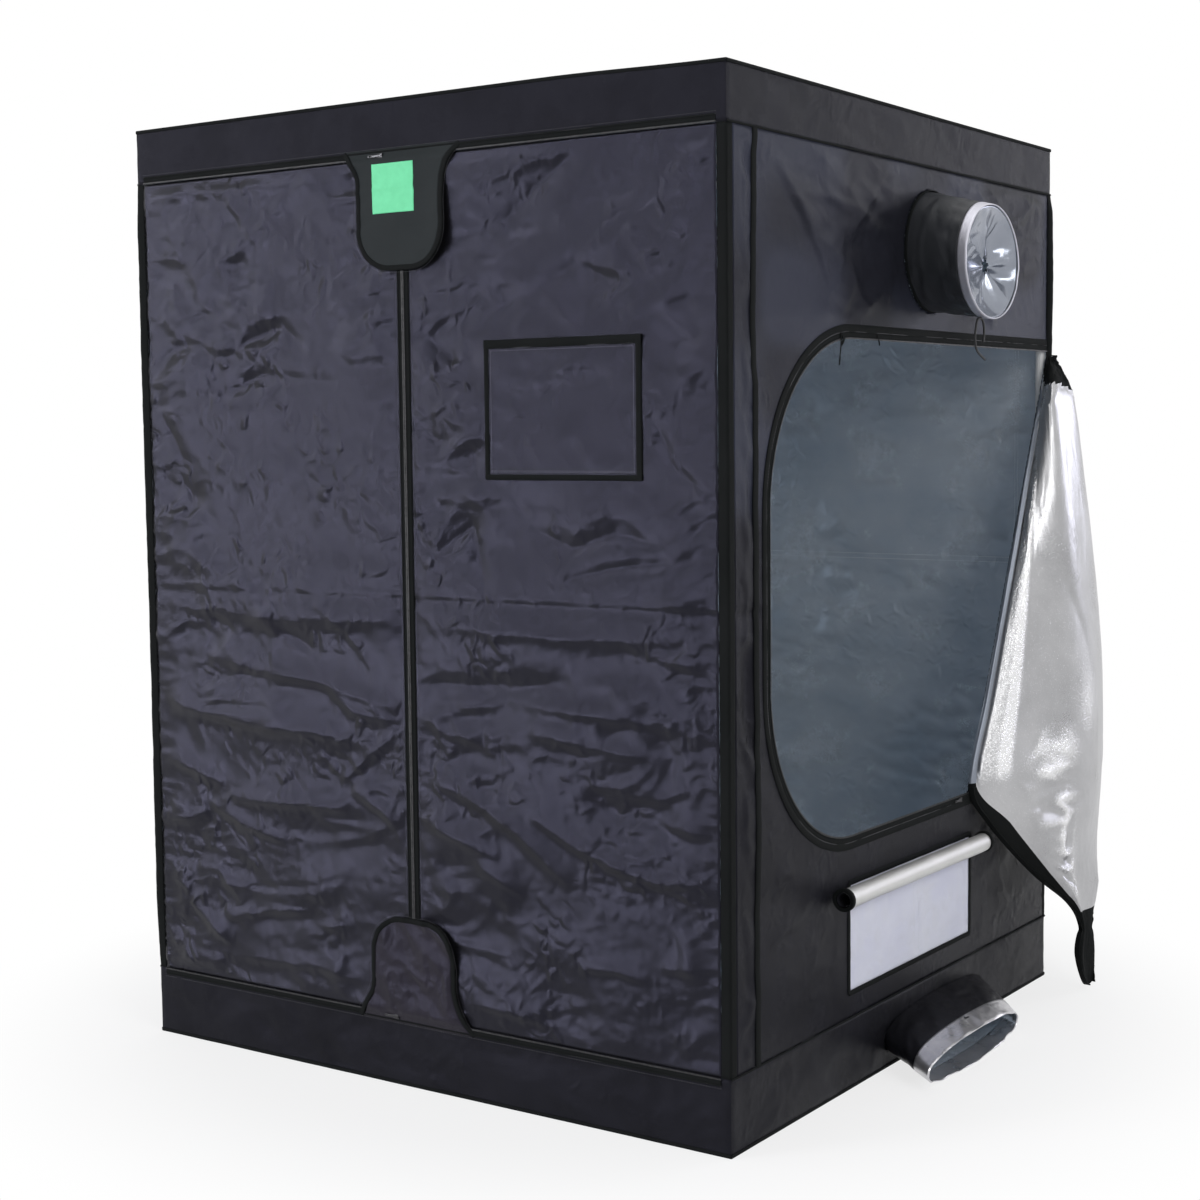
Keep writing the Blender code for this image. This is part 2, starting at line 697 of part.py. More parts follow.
def make_zip_cover(name, seam_z, side, sizes):
    """Side is 1 for a cover that hangs from its seam and -1 for one that stands up."""
    length = sizes[2]
    outline = [(across, seam_z + side * up) for across, up in cover_outline(*sizes)]
    face = -FRONT_FACE
    mesh = outline_mesh(outline, face, face + COVER_THICKNESS, FRONT_PLANE)
    bend_cover(mesh, seam_z, length, side)
    pivot = add_pivot(name + "_hinge", (0, -face - COVER_THICKNESS / 2, seam_z))
    add_part(name, mesh, "black_binding_tape", pivot.location, pivot)
    return pivot


def make_label(pivot, seam_z):
    """A bare green patch on the top cover, which follows the cover's bend."""
    face = -FRONT_FACE + COVER_THICKNESS + GAP
    top = seam_z - LABEL_TOP_DROP
    left = LABEL_OFFSET - LABEL_WIDTH / 2
    right = LABEL_OFFSET + LABEL_WIDTH / 2
    bottom = top - LABEL_HEIGHT
    outline = [(left, bottom), (right, bottom), (right, top), (left, top)]
    mesh = outline_mesh(outline, face, face + LABEL_THICKNESS, FRONT_PLANE)
    bend_cover(mesh, seam_z, TOP_COVER_LENGTH, 1)
    add_part("green_label", mesh, "green_label", pivot.location, pivot)


def make_window(right_pivot):
    left, right, bottom, top = window_hole()
    inner_face = -HALF_DEPTH + CLOTH + GAP
    pane = box_mesh(
        (left - PANE_OVERLAP, inner_face, bottom - PANE_OVERLAP),
        (right + PANE_OVERLAP, inner_face + PANE_THICKNESS, top + PANE_OVERLAP),
    )
    add_part("window_pane", pane, "clear_window_film", right_pivot.location, right_pivot)
    outer_face = FRONT_FACE - WINDOW_BINDING_THICKNESS
    plate = box_mesh((WINDOW_LEFT, outer_face, WINDOW_BOTTOM), (WINDOW_RIGHT, FRONT_FACE, WINDOW_TOP))
    recess = box_mesh(
        (WINDOW_LEFT + WINDOW_BINDING, outer_face - OVERRUN, WINDOW_BOTTOM + WINDOW_BINDING),
        (WINDOW_RIGHT - WINDOW_BINDING, FRONT_FACE - CLOTH, WINDOW_TOP - WINDOW_BINDING),
    )
    middle = ((WINDOW_LEFT + WINDOW_RIGHT) / 2, (outer_face + FRONT_FACE) / 2, WINDOW_TOP)
    add_part("window_cover", combine(plate, cut=(recess,)), "black_oxford_cloth", middle, right_pivot)


def make_front():
    left, right, bottom, top = window_hole()
    hole = box_mesh((left, -HALF_DEPTH - OVERRUN, bottom), (right, -HALF_DEPTH + CLOTH + OVERRUN, top))
    make_leaf("left", -1)
    right_pivot = make_leaf("right", 1, (hole,))
    make_window(right_pivot)
    top_zip = cross_zip_mesh(TOP_SEAM_Z, TOP_SEAM_Z + CROSS_ZIP_HEIGHT, TOP_SEAM_Z)
    add_part("front_top_zip", top_zip, "black_binding_tape")
    base_zip = cross_zip_mesh(
        BASE_BAND_HEIGHT - CROSS_ZIP_HEIGHT, BASE_BAND_HEIGHT, BASE_BAND_HEIGHT - ZIP_BEAD_WIDTH
    )
    add_part("front_base_zip", base_zip, "black_binding_tape")
    slider_face = FRONT_FACE - ZIP_BEAD_THICKNESS - GAP
    centre_place = (GAP * 2 + SLIDER_WIDTH / 2, slider_face, TOP_SEAM_Z - CENTRE_SLIDER_TOP_DROP)
    make_slider("front_zip_slider", centre_place, Matrix.Identity(4), right_pivot)
    lying = Matrix.Rotation(math.radians(90), 4, "Y")
    top_place = (-CROSS_SLIDER_OFFSET, slider_face, TOP_SEAM_Z + SLIDER_WIDTH / 2 + GAP)
    make_slider("top_zip_slider", top_place, lying)
    base_place = (-CROSS_SLIDER_OFFSET, slider_face, BASE_BAND_HEIGHT - SLIDER_WIDTH / 2 - GAP)
    make_slider("base_zip_slider", base_place, lying)
    top_sizes = (
        TOP_COVER_HALF_WIDTH,
        TOP_COVER_TONGUE_HALF_WIDTH,
        TOP_COVER_LENGTH,
        TOP_COVER_SHOULDER,
        TOP_COVER_CORNER_RADIUS,
    )
    base_sizes = (
        BOTTOM_COVER_HALF_WIDTH,
        BOTTOM_COVER_TONGUE_HALF_WIDTH,
        BOTTOM_COVER_LENGTH,
        BOTTOM_COVER_SHOULDER,
        BOTTOM_COVER_CORNER_RADIUS,
    )
    seam_reach = CROSS_ZIP_HEIGHT + COVER_SEAM_MARGIN
    top_seam = TOP_SEAM_Z + seam_reach
    top_pivot = make_zip_cover("top_zip_cover", top_seam, 1, top_sizes)
    make_label(top_pivot, top_seam)
    make_zip_cover("base_zip_cover", BASE_BAND_HEIGHT - seam_reach, -1, base_sizes)


# The side door
def fold_point(share):
    """A point of the diagonal fold of the side door, from its top to its bottom."""
    return FOLD_TOP.lerp(FOLD_BOTTOM, share)


def flap_point(reach_share, span_share, height_share):
    """Out of the wall, rearwards from the front end of the fold, and up from the ground."""
    return Vector(
        (
            HALF_WIDTH + FLAP_REACH * reach_share,
            FOLD_BOTTOM_Y + FLAP_SPAN * span_share,
            FOLD_TOP.z * height_share,
        )
    )


def flap_edges():
    """Three rows of points: where the flap starts, where it turns and where it ends."""
    start_shares = (
        (0.16, 0.087, 0.293),
        (0.48, 0.304, 0.201),
        (0.78, 0.470, 0.142),
        (0.88, 0.535, 0.100),
        (0.90, 0.535, 0.055),
        (0.96, 0.570, 0.0),
    )
    turn_shares = (
        (0.045, 0.650, 1.000),
        (0.42, 0.579, 0.935),
        (0.66, 0.576, 0.800),
        (0.83, 0.603, 0.660),
        (0.96, 0.627, 0.520),
        (1.01, 0.628, 0.380),
        (1.01, 0.604, 0.300),
        (0.99, 0.571, 0.215),
        (0.97, 0.586, 0.140),
        (0.98, 0.580, 0.095),
        (1.02, 0.562, 0.052),
        (1.00, 0.585, 0.0),
    )
    end_shares = (
        (0.060, 0.656, 1.003),
        (0.30, 0.664, 0.930),
        (0.26, 0.780, 0.790),
        (0.24, 0.858, 0.655),
        (0.24, 0.892, 0.520),
        (0.30, 0.864, 0.380),
        (0.40, 0.790, 0.300),
        (0.62, 0.692, 0.215),
        (0.82, 0.653, 0.140),
        (0.90, 0.621, 0.098),
        (0.94, 0.600, 0.055),
        (0.98, 0.603, 0.002),
    )
    start = [fold_point(share) for share in FLAP_FOLD_SHARES]
    start += [flap_point(*shares) for shares in start_shares]
    turn = [flap_point(*shares) for shares in turn_shares]
    end = [flap_point(*shares) for shares in end_shares]
    return start, turn, end


def bezier(a, b, c, d, t):
    s = 1 - t
    return a * s ** 3 + b * 3 * s * s * t + c * 3 * s * t * t + d * t ** 3


def flap_surface():
    start, turn, end = flap_edges()
    narrow = (turn[0] - start[0]).length

    def place(u, v):
        first = along_table(start, v)
        bend = along_table(turn, v)
        last = along_table(end, v)
        width = min((bend - first).length / narrow / FLAP_FULL_RATIO, 1.0)
        if u <= FLAP_FRONT_SHARE:
            t = u / FLAP_FRONT_SHARE
            roll = first + Vector((FLAP_ROLL * width, 0, 0))
            lead = bend - Vector((0, FLAP_TURN * 2 * width, 0))
            point = bezier(first, roll, lead, bend, t)
        else:
            t = (u - FLAP_FRONT_SHARE) / (1 - FLAP_FRONT_SHARE)
            point = bezier(
                bend,
                bend + Vector((0, FLAP_TURN * width, 0)),
                last + Vector((FLAP_TURN / 2 * width, 0, 0)),
                last,
                t,
            )
        fade = math.sin(math.pi * u) * width
        lift = FLAP_RIPPLE_LIFT_SHARE
        for across, down, height in FLAP_WAVE_SHARES:
            lift += height * math.sin(math.tau * (across * u + down * v))
        point.x += FLAP_RIPPLE * fade * lift
        point.z += FLAP_FLOOR_CLEARANCE * v
        return point

    return place


def make_side_door():
    outer = door_outline(DOOR_TAPE_WIDTH)
    inner = door_outline(0)
    tape = outline_mesh(outer + inner[::-1], SIDE_FACE, SIDE_FACE + CLOTH, SIDE_PLANE)
    add_part("side_door_zip_tape", tape, "black_binding_tape")
    low = DOOR_BOTTOM_Z + GAP
    outline = [(WALL_EDGE_Y, low), (WALL_EDGE_Y, FOLD_TOP.z), (FOLD_BOTTOM_Y, low)]
    panel = outline_mesh(outline, HALF_WIDTH - CLOTH, HALF_WIDTH, SIDE_PLANE)
    add_part("side_door_panel", panel, "black_oxford_cloth")
    lying = Matrix.Rotation(math.radians(90), 4, "Y")
    slider_place = (SIDE_FACE + CLOTH + GAP, SIDE_SLIDER_Y, DOOR_BOTTOM_Z - DOOR_TAPE_WIDTH / 3)
    make_slider("side_door_slider", slider_place, Matrix.Rotation(math.radians(90), 4, "Z") @ lying)
    pivot = add_pivot("side_door_fold", FOLD_BOTTOM)
    mesh = sheet_mesh(FLAP_COLUMNS, FLAP_ROWS, flap_surface())
    flap = add_part("side_door_flap", mesh, "silver_lining", pivot.location, pivot)
    thicken(flap, CLOTH, 0)
    smooth(flap)


# The vent
def make_vent():
    inner = HALF_WIDTH - CLOTH - GAP
    mesh = box_mesh(
        (inner - VENT_MESH_THICKNESS, VENT_FRONT_Y - VENT_SEAM, VENT_BOTTOM_Z - VENT_SEAM),
        (inner, VENT_REAR_Y + VENT_SEAM, VENT_TOP_Z + VENT_SEAM),
    )
    add_part("vent_mesh", mesh, "white_mesh")
    x = SIDE_FACE + VENT_ROLL_RADIUS
    pivot = add_pivot("vent_roll_seam", (SIDE_FACE, 0, VENT_ROLL_Z + VENT_ROLL_RADIUS))
    pipe = cylinder_mesh(
        (x, VENT_ROLL_FRONT_Y, VENT_ROLL_Z),
        (x, VENT_ROLL_REAR_Y, VENT_ROLL_Z),
        VENT_ROLL_RADIUS,
        capped=False,
    )
    roll = add_part("vent_cover_roll", pipe, "silver_lining", pivot.location, pivot)
    thicken(roll, VENT_ROLL_WALL, -1)
    smooth(roll)


# The duct sleeves
def upper_ring(u, share, inward=0.0):
    """A point of the upper sleeve: share 0 is its port and 1 is its mouth."""
    angle = math.tau * u
    y = between(UPPER_PORT_Y, UPPER_MOUTH_Y, share)
    z = between(UPPER_PORT_Z, UPPER_MOUTH_Z, share)
    across = between(UPPER_PORT_RADIUS + CLOTH, UPPER_MOUTH_HALF_WIDTH, share) - inward
    up = between(UPPER_PORT_RADIUS + CLOTH, UPPER_MOUTH_HALF_HEIGHT, share) - inward
    x = SIDE_FACE + UPPER_SLEEVE_LENGTH * share
    return Vector((x, y + across * math.cos(angle), z + up * math.sin(angle)))


def upper_cuff_place(u, v):
    """The silver cuff, and its lip rolled over into the mouth."""
    if v <= UPPER_CUFF_ROWS_SHARE:
        start = 1 - (UPPER_CUFF - GAP) / UPPER_SLEEVE_LENGTH
        return upper_ring(u, between(start, 1.0, v / UPPER_CUFF_ROWS_SHARE))
    angle = math.pi * (v - UPPER_CUFF_ROWS_SHARE) / (1 - UPPER_CUFF_ROWS_SHARE)
    point = upper_ring(u, 1.0, UPPER_LIP * (1 - math.cos(angle)) / 2)
    point.x += UPPER_LIP * math.sin(angle) / 2
    return point


def upper_liner_place(u, depth):
    """The pleated cone inside the cuff, from its seam behind the lip to the pinched hole."""
    rim = upper_ring(u, 1.0, UPPER_LIP)
    rim.x -= CLOTH + GAP
    angle = math.tau * u
    pleat = 1 + UPPER_PLEAT_SHARE * math.sin(UPPER_PLEAT_COUNT * angle)
    pinch = Vector(
        (
            rim.x - UPPER_PINCH_DEPTH,
            UPPER_MOUTH_Y + UPPER_PINCH_Y + UPPER_PINCH_RADIUS * pleat * math.cos(angle),
            UPPER_MOUTH_Z + UPPER_PINCH_RADIUS * pleat * math.sin(angle),
        )
    )
    point = rim.lerp(pinch, depth)
    fold = math.sin(UPPER_PLEAT_COUNT * angle) * math.sin(math.pi * depth)
    point.x += UPPER_PINCH_RADIUS / 3 * fold
    return point


def make_upper_sleeve():
    cuff_share = 1 - UPPER_CUFF / UPPER_SLEEVE_LENGTH

    def tube_place(u, v):
        return upper_ring(u, v * cuff_share)

    tube = sheet_mesh(SLEEVE_SIDES, SLEEVE_RINGS, tube_place, closed=True)
    smooth(thicken(add_part("upper_sleeve", tube, "black_oxford_cloth"), CLOTH, 0))
    cuff = sheet_mesh(SLEEVE_SIDES, SLEEVE_RINGS, upper_cuff_place, closed=True)
    smooth(thicken(add_part("upper_sleeve_cuff", cuff, "silver_lining"), CLOTH, 0))
    liner = sheet_mesh(SLEEVE_SIDES, SLEEVE_RINGS, upper_liner_place, closed=True)
    smooth(thicken(add_part("upper_sleeve_liner", liner, "silver_lining"), CLOTH, 0))


def lower_ring(u, share, inward=0.0):
    """A point of the lower sleeve: share 0 is its port and 1 is its mouth."""
    angle = math.tau * u
    across = math.copysign(abs(math.cos(angle)) ** SUPERELLIPSE_SHARE, math.cos(angle))
    up = math.copysign(abs(math.sin(angle)) ** SUPERELLIPSE_SHARE, math.sin(angle))
    half_width = between(LOWER_PORT_HALF_WIDTH, LOWER_MOUTH_HALF_WIDTH, share) - inward
    half_height = between(LOWER_PORT_HALF_HEIGHT, LOWER_MOUTH_HALF_HEIGHT, share) - inward
    y = between(LOWER_PORT_Y, LOWER_MOUTH_Y, share) + half_width * across
    z = between(LOWER_PORT_Z, LOWER_MOUTH_Z, share) + half_height * up
    x = SIDE_FACE + GAP + share * (LOWER_SLEEVE_LENGTH + LOWER_MOUTH_TILT * up)
    return Vector((x, y, z))


def lower_cuff_place(u, v):
    """The silver cuff, over its lip and back into the sleeve as its lining."""
    start = 1 - (LOWER_CUFF - GAP) / LOWER_SLEEVE_LENGTH
    lip_end_share = LOWER_CUFF_ROWS_SHARE + LOWER_LIP_ROWS_SHARE
    if v <= LOWER_CUFF_ROWS_SHARE:
        return lower_ring(u, between(start, 1.0, v / LOWER_CUFF_ROWS_SHARE))
    if v <= lip_end_share:
        angle = math.pi * (v - LOWER_CUFF_ROWS_SHARE) / LOWER_LIP_ROWS_SHARE
        point = lower_ring(u, 1.0, UPPER_LIP * (1 - math.cos(angle)) / 2)
        point.x += UPPER_LIP * math.sin(angle) / 2
        return point
    back = 1 - LOWER_LINING / LOWER_SLEEVE_LENGTH
    return lower_ring(u, between(1.0, back, (v - lip_end_share) / (1 - lip_end_share)), UPPER_LIP)


def make_lower_sleeve():
    cuff_share = 1 - LOWER_CUFF / LOWER_SLEEVE_LENGTH

    def tube_place(u, v):
        return lower_ring(u, v * cuff_share)

    tube = sheet_mesh(SLEEVE_SIDES, SLEEVE_RINGS, tube_place, closed=True)
    smooth(thicken(add_part("lower_sleeve", tube, "black_oxford_cloth"), CLOTH, 0))
    cuff = sheet_mesh(SLEEVE_SIDES, SLEEVE_RINGS * 2, lower_cuff_place, closed=True)
    smooth(thicken(add_part("lower_sleeve_cuff", cuff, "silver_lining"), CLOTH, 0))


def make_drawcord():
    curve = bpy.data.curves.new("upper_drawcord", "CURVE")
    curve.dimensions = "3D"
    curve.bevel_depth = CORD_RADIUS
    curve.bevel_resolution = 2
    curve.use_fill_caps = True
    spline = curve.splines.new("POLY")
    spline.points.add((len(CORD_ROUTE) - 1) * CORD_STEPS)
    table = [Vector(point) for point in CORD_ROUTE]
    for index, point in enumerate(spline.points):
        point.co = (*along_table(table, index / (len(spline.points) - 1)), 1)
    curve.materials.append(MATERIALS["black_binding_tape"])
    cord = bpy.data.objects.new("upper_drawcord", curve)
    PARTS.objects.link(cord)


make_frame()
make_hanging_bar("hanging_bar_front", -HANGING_BAR_OFFSET)
make_hanging_bar("hanging_bar_rear", HANGING_BAR_OFFSET)
make_cover()
make_front()
make_side_door()
make_vent()
make_upper_sleeve()
make_lower_sleeve()
make_drawcord()
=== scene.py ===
# %% [markdown]
# An indoor grow tent. It is a frame of white steel tubes with a sewn cover
# pulled over it, black outside and silver inside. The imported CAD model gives
# every size and place, and this lesson dresses it: each panel of cloth gets
# its folds, seams, stitches and finish, and the steel tubes stay as they are.

# %% Load the frame
import json
import math

import bmesh
import bpy
import numpy as np
from mathutils import Matrix, Vector

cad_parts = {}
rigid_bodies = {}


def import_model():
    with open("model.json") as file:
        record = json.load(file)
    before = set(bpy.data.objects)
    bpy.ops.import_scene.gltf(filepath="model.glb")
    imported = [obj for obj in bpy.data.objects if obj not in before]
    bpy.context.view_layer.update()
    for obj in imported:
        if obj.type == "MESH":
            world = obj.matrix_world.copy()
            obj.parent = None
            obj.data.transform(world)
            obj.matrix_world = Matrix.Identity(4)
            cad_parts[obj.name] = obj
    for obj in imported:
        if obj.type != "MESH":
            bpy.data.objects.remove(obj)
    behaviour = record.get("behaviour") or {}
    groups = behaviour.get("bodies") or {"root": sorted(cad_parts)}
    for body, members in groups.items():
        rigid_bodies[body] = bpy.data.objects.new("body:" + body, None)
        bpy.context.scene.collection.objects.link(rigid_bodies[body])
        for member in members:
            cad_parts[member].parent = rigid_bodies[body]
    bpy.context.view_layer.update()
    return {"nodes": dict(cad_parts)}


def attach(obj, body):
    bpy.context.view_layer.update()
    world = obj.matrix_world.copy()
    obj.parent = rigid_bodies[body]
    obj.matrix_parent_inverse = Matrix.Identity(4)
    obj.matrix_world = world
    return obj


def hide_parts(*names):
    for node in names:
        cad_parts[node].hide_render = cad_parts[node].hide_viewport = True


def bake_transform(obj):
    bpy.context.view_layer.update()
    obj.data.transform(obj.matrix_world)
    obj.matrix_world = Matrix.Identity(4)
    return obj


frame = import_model()


def add_object(name, data):
    """A new object of the scene that shows the given data."""
    made = bpy.data.objects.new(name, data)
    bpy.context.scene.collection.objects.link(made)
    return made



# %% [markdown]
# The camera comes first. It stands a little to the right of the front, at the
# height of a person's chest, so that the front and the side door both show.
# Its turn is written as three angles and made into a matrix by hand, because
# a small roll is easier to add that way than with a track-to constraint.

# %% The camera
CAMERA_PLACE = (2.61948, -3.87897, 1.34819)
CAMERA_TURN, CAMERA_DROP, CAMERA_ROLL = (math.radians(a) for a in (34.5147, 4.8288, -0.60538))
FOCAL_LENGTH, SENSOR_WIDTH = 60.65, 36
back = Vector((
    math.sin(CAMERA_TURN) * math.cos(CAMERA_DROP),
    -math.cos(CAMERA_TURN) * math.cos(CAMERA_DROP),
    math.sin(CAMERA_DROP),
))
level = Vector((math.cos(CAMERA_TURN), math.sin(CAMERA_TURN), 0))
above = back.cross(level)
across = level * math.cos(CAMERA_ROLL) + above * math.sin(CAMERA_ROLL)
upward = above * math.cos(CAMERA_ROLL) - level * math.sin(CAMERA_ROLL)
lens = bpy.data.cameras.new("camera")
lens.lens, lens.sensor_width = FOCAL_LENGTH, SENSOR_WIDTH
camera = add_object("camera", lens)
turned = Matrix((across, upward, back)).transposed()
camera.matrix_world = Matrix.Translation(CAMERA_PLACE) @ turned.to_4x4()
bpy.context.scene.camera = camera
bpy.context.scene.view_settings.view_transform = "Standard"
print("camera stands at", CAMERA_PLACE)

# %% [markdown]
# The drawcord of the upper sleeve is a short limp cord tied under the cuff.
# A curve with a round bevel is the plain way to make a cord, because its line
# is also its length. The route is smoothed between its points, so that no
# bend is tight.

# %% The drawcord's route
CORD_RADIUS = 0.0025
CORD_STEPS = 48
CORD_ROUTE = np.array([
    (0.887, 0.053, 1.520), (0.888, 0.054, 1.534), (0.888, 0.054, 1.549), (0.888, 0.048, 1.563),
    (0.888, 0.034, 1.5689), (0.888, 0.020, 1.563), (0.888, 0.014, 1.549), (0.888, 0.010, 1.534),
    (0.888, 0.010, 1.519), (0.888, 0.016, 1.505), (0.888, 0.029, 1.496), (0.888, 0.044, 1.490),
    (0.888, 0.059, 1.484),
])


def along(table, share):
    """Smooth value at a share from 0 to 1 of evenly spaced entries."""
    table = np.asarray(table, float)
    place = min(max(share, 0.0), 1.0) * (len(table) - 1)
    index = min(int(place), len(table) - 2)
    t = place - index
    here, after = table[index], table[index + 1]
    before, beyond = table[max(index - 1, 0)], table[min(index + 2, len(table) - 1)]
    pull = (after - before) / 2 - (after - here)
    push = (beyond - here) / 2 - (after - here)
    return here + (after - here) * t + pull * t * (1 - t) ** 2 - push * (1 - t) * t ** 2


cord_points = np.array([along(CORD_ROUTE, i / CORD_STEPS) for i in range(CORD_STEPS + 1)])

# %% The drawcord
cord_curve = bpy.data.curves.new("drawcord", "CURVE")
cord_curve.dimensions = "3D"
cord_curve.bevel_depth = CORD_RADIUS
cord_curve.bevel_resolution = 3
cord_curve.use_fill_caps = True
spline = cord_curve.splines.new("POLY")
spline.points.add(len(cord_points) - 1)
for point, place in zip(spline.points, cord_points):
    point.co = (*place, 1)
drawcord = add_object("drawcord", cord_curve)
print("drawcord has", len(cord_points), "points")

# %% [markdown]
# Three effects come back in many finishes, so each is a node group: the weave
# of the cloth, the fine crinkles of thin coated cloth, and a faint dustiness.
# A group gives out only a height or a mask; the shader stays in the material.

# %% Node helpers
def add_node(tree, kind, inputs=None, **settings):
    made = tree.nodes.new(kind)
    for name, value in settings.items():
        setattr(made, name, value)
    for socket, value in (inputs or {}).items():
        if isinstance(value, bpy.types.NodeSocket):
            tree.links.new(value, made.inputs[socket])
        else:
            made.inputs[socket].default_value = value
    return made


def maths(tree, operation, first, second=0.5):
    return add_node(tree, "ShaderNodeMath", {0: first, 1: second}, operation=operation).outputs[0]


def object_place(tree):
    return add_node(tree, "ShaderNodeTexCoord").outputs["Object"]


def noise(tree, vector, scale, detail, inputs=None, **settings):
    values = {"Vector": vector, "Scale": scale, "Detail": detail, **(inputs or {})}
    return add_node(tree, "ShaderNodeTexNoise", values, **settings).outputs["Fac"]


def map_range(tree, value, low, high, first=0.0, last=1.0, **settings):
    values = {0: value, 1: low, 2: high, 3: first, 4: last}
    return add_node(tree, "ShaderNodeMapRange", values, **settings).outputs[0]


def mix_colour(tree, share, first, second):
    return add_node(tree, "ShaderNodeMix", {0: share, 6: first, 7: second}, data_type="RGBA").outputs[2]


def new_group(name, inputs, outputs):
    tree = bpy.data.node_groups.new(name, "ShaderNodeTree")
    for label, value in inputs.items():
        socket = tree.interface.new_socket(label, in_out="INPUT", socket_type="NodeSocketFloat")
        socket.default_value = value
    for label in outputs:
        tree.interface.new_socket(label, in_out="OUTPUT", socket_type="NodeSocketFloat")
    return tree, tree.nodes.new("NodeGroupInput").outputs, tree.nodes.new("NodeGroupOutput")


# %% The weave group
weave, given, put_out = new_group("weave", {"Pitch": 0.0006, "Depth": 0.00004, "Slub": 0.00012}, ["Height"])
axes = add_node(weave, "ShaderNodeSeparateXYZ", {0: object_place(weave)}).outputs
sideways = maths(weave, "ADD", axes["X"], axes["Y"])
turns = maths(weave, "DIVIDE", math.tau, given["Pitch"])
warp, weft = (maths(weave, "SINE", maths(weave, "MULTIPLY", way, turns)) for way in (sideways, axes["Z"]))
woven = maths(weave, "MULTIPLY", maths(weave, "MULTIPLY", warp, weft), given["Depth"])
slubs = 0.0
for wide, tall in ((30.0, 420.0), (420.0, 30.0)):
    stretched = add_node(
        weave, "ShaderNodeCombineXYZ",
        {0: maths(weave, "MULTIPLY", sideways, wide), 1: maths(weave, "MULTIPLY", axes["Z"], tall)},
    ).outputs[0]
    slubs = maths(weave, "ADD", noise(weave, stretched, 1.0, 1.0), slubs)
slubs = maths(weave, "MULTIPLY", maths(weave, "SUBTRACT", slubs, 1.0), given["Slub"])
weave.links.new(maths(weave, "ADD", woven, slubs), put_out.inputs[0])
print("group weave has", len(weave.nodes), "nodes")

# %% The crinkle group
crinkle, given, put_out = new_group("crinkle", {"Size": 0.03, "Depth": 0.0006}, ["Height"])
place = object_place(crinkle)
ridges = noise(
    crinkle, place, maths(crinkle, "DIVIDE", 1.0, given["Size"]), 3.0,
    {"Roughness": 0.45, "Distortion": 0.6}, noise_type="RIDGED_MULTIFRACTAL",
)
where = map_range(crinkle, noise(crinkle, place, 5.0, 2.0), 0.42, 0.62)
creased = maths(crinkle, "MULTIPLY", ridges, where)
crinkle.links.new(maths(crinkle, "MULTIPLY", creased, given["Depth"]), put_out.inputs[0])
print("group crinkle has", len(crinkle.nodes), "nodes")

# %% The dust group
dust, given, put_out = new_group("dust", {"Size": 0.15, "Speckle": 0.3}, ["Mask"])
place = object_place(dust)
cloudy = noise(dust, place, maths(dust, "DIVIDE", 1.0, given["Size"]), 4.0)
grains = maths(dust, "SUBTRACT", noise(dust, place, 900.0, 1.0), 0.5)
grains = maths(dust, "MULTIPLY", grains, given["Speckle"])
dust.links.new(maths(dust, "ADD", cloudy, grains), put_out.inputs[0])
print("group dust has", len(dust.nodes), "nodes")

# %% [markdown]
# Every finish is made by one function, which places the groups with that
# finish's own values. The black cloth has a plastic coating, so its gloss is
# soft and slightly violet; the lining is metal film; tapes are matt.

# %% The finishes
def place_group(tree, group, values):
    made = tree.nodes.new("ShaderNodeGroup")
    made.node_tree = group
    for label, value in values.items():
        made.inputs[label].default_value = value
    return made


def finish(
    name, dark, light, rough, crinkles=(0.03, 0.0004),
    pitch=0.0006, depth=0.00004, slub=0.0, dust_size=0.15, **shader
):
    """A material between two colours and two roughnesses; crinkles are a size and a depth in metres."""
    made = bpy.data.materials.new(name)
    made.use_nodes = True
    tree = made.node_tree
    surface = tree.nodes["Principled BSDF"]
    thread = place_group(tree, weave, {"Pitch": pitch, "Depth": depth, "Slub": slub})
    folds = place_group(tree, crinkle, {"Size": crinkles[0], "Depth": crinkles[1]})
    wear = place_group(tree, dust, {"Size": dust_size})
    spread = map_range(tree, wear.outputs[0], 0.3, 0.7)
    colour = mix_colour(tree, spread, (*dark, 1), (*light, 1))
    gloss = map_range(tree, wear.outputs[0], 0.3, 0.7, *rough)
    height = maths(tree, "ADD", thread.outputs[0], folds.outputs[0])
    bump = add_node(tree, "ShaderNodeBump", {"Strength": 1.0, "Distance": 1.0, "Height": height}).outputs[0]
    tree.links.new(colour, surface.inputs["Base Color"])
    tree.links.new(gloss, surface.inputs["Roughness"])
    tree.links.new(bump, surface.inputs["Normal"])
    for label, value in shader.items():
        surface.inputs[label.replace("_", " ")].default_value = value
    return made


def sheen(level):
    """The weak violet gloss of coated cloth."""
    return {"Specular_IOR_Level": level, "Specular_Tint": (0.66, 0.66, 1.0, 1)}


FILM = {"pitch": 0.004, "depth": 0.00003}
outer_cloth = finish(
    "black coated cloth", (0.011, 0.011, 0.013), (0.016, 0.016, 0.020), (0.24, 0.32),
    (0.035, 0.0020), slub=0.00009, **sheen(0.045),
)
front_cloth = finish(
    "glossy front cloth", (0.004, 0.004, 0.0045), (0.008, 0.008, 0.009), (0.15, 0.21),
    (0.035, 0.0055), slub=0.00007, **sheen(0.24),
)
sleeve_cloth = finish(
    "sleeve cloth", (0.028, 0.030, 0.034), (0.042, 0.044, 0.049), (0.30, 0.40),
    (0.030, 0.0012), Specular_IOR_Level=0.12,
)
roof_finish = finish(
    "dull roof cloth", (0.008, 0.008, 0.009), (0.013, 0.013, 0.014), (0.62, 0.76),
    (0.035, 0.0020), slub=0.00009, **sheen(0.02),
)
binding = finish(
    "black binding tape", (0.006, 0.007, 0.007), (0.011, 0.012, 0.012), (0.65, 0.80),
    (0.02, 0.0001), pitch=0.0016, depth=0.00012, Specular_IOR_Level=0.05,
)
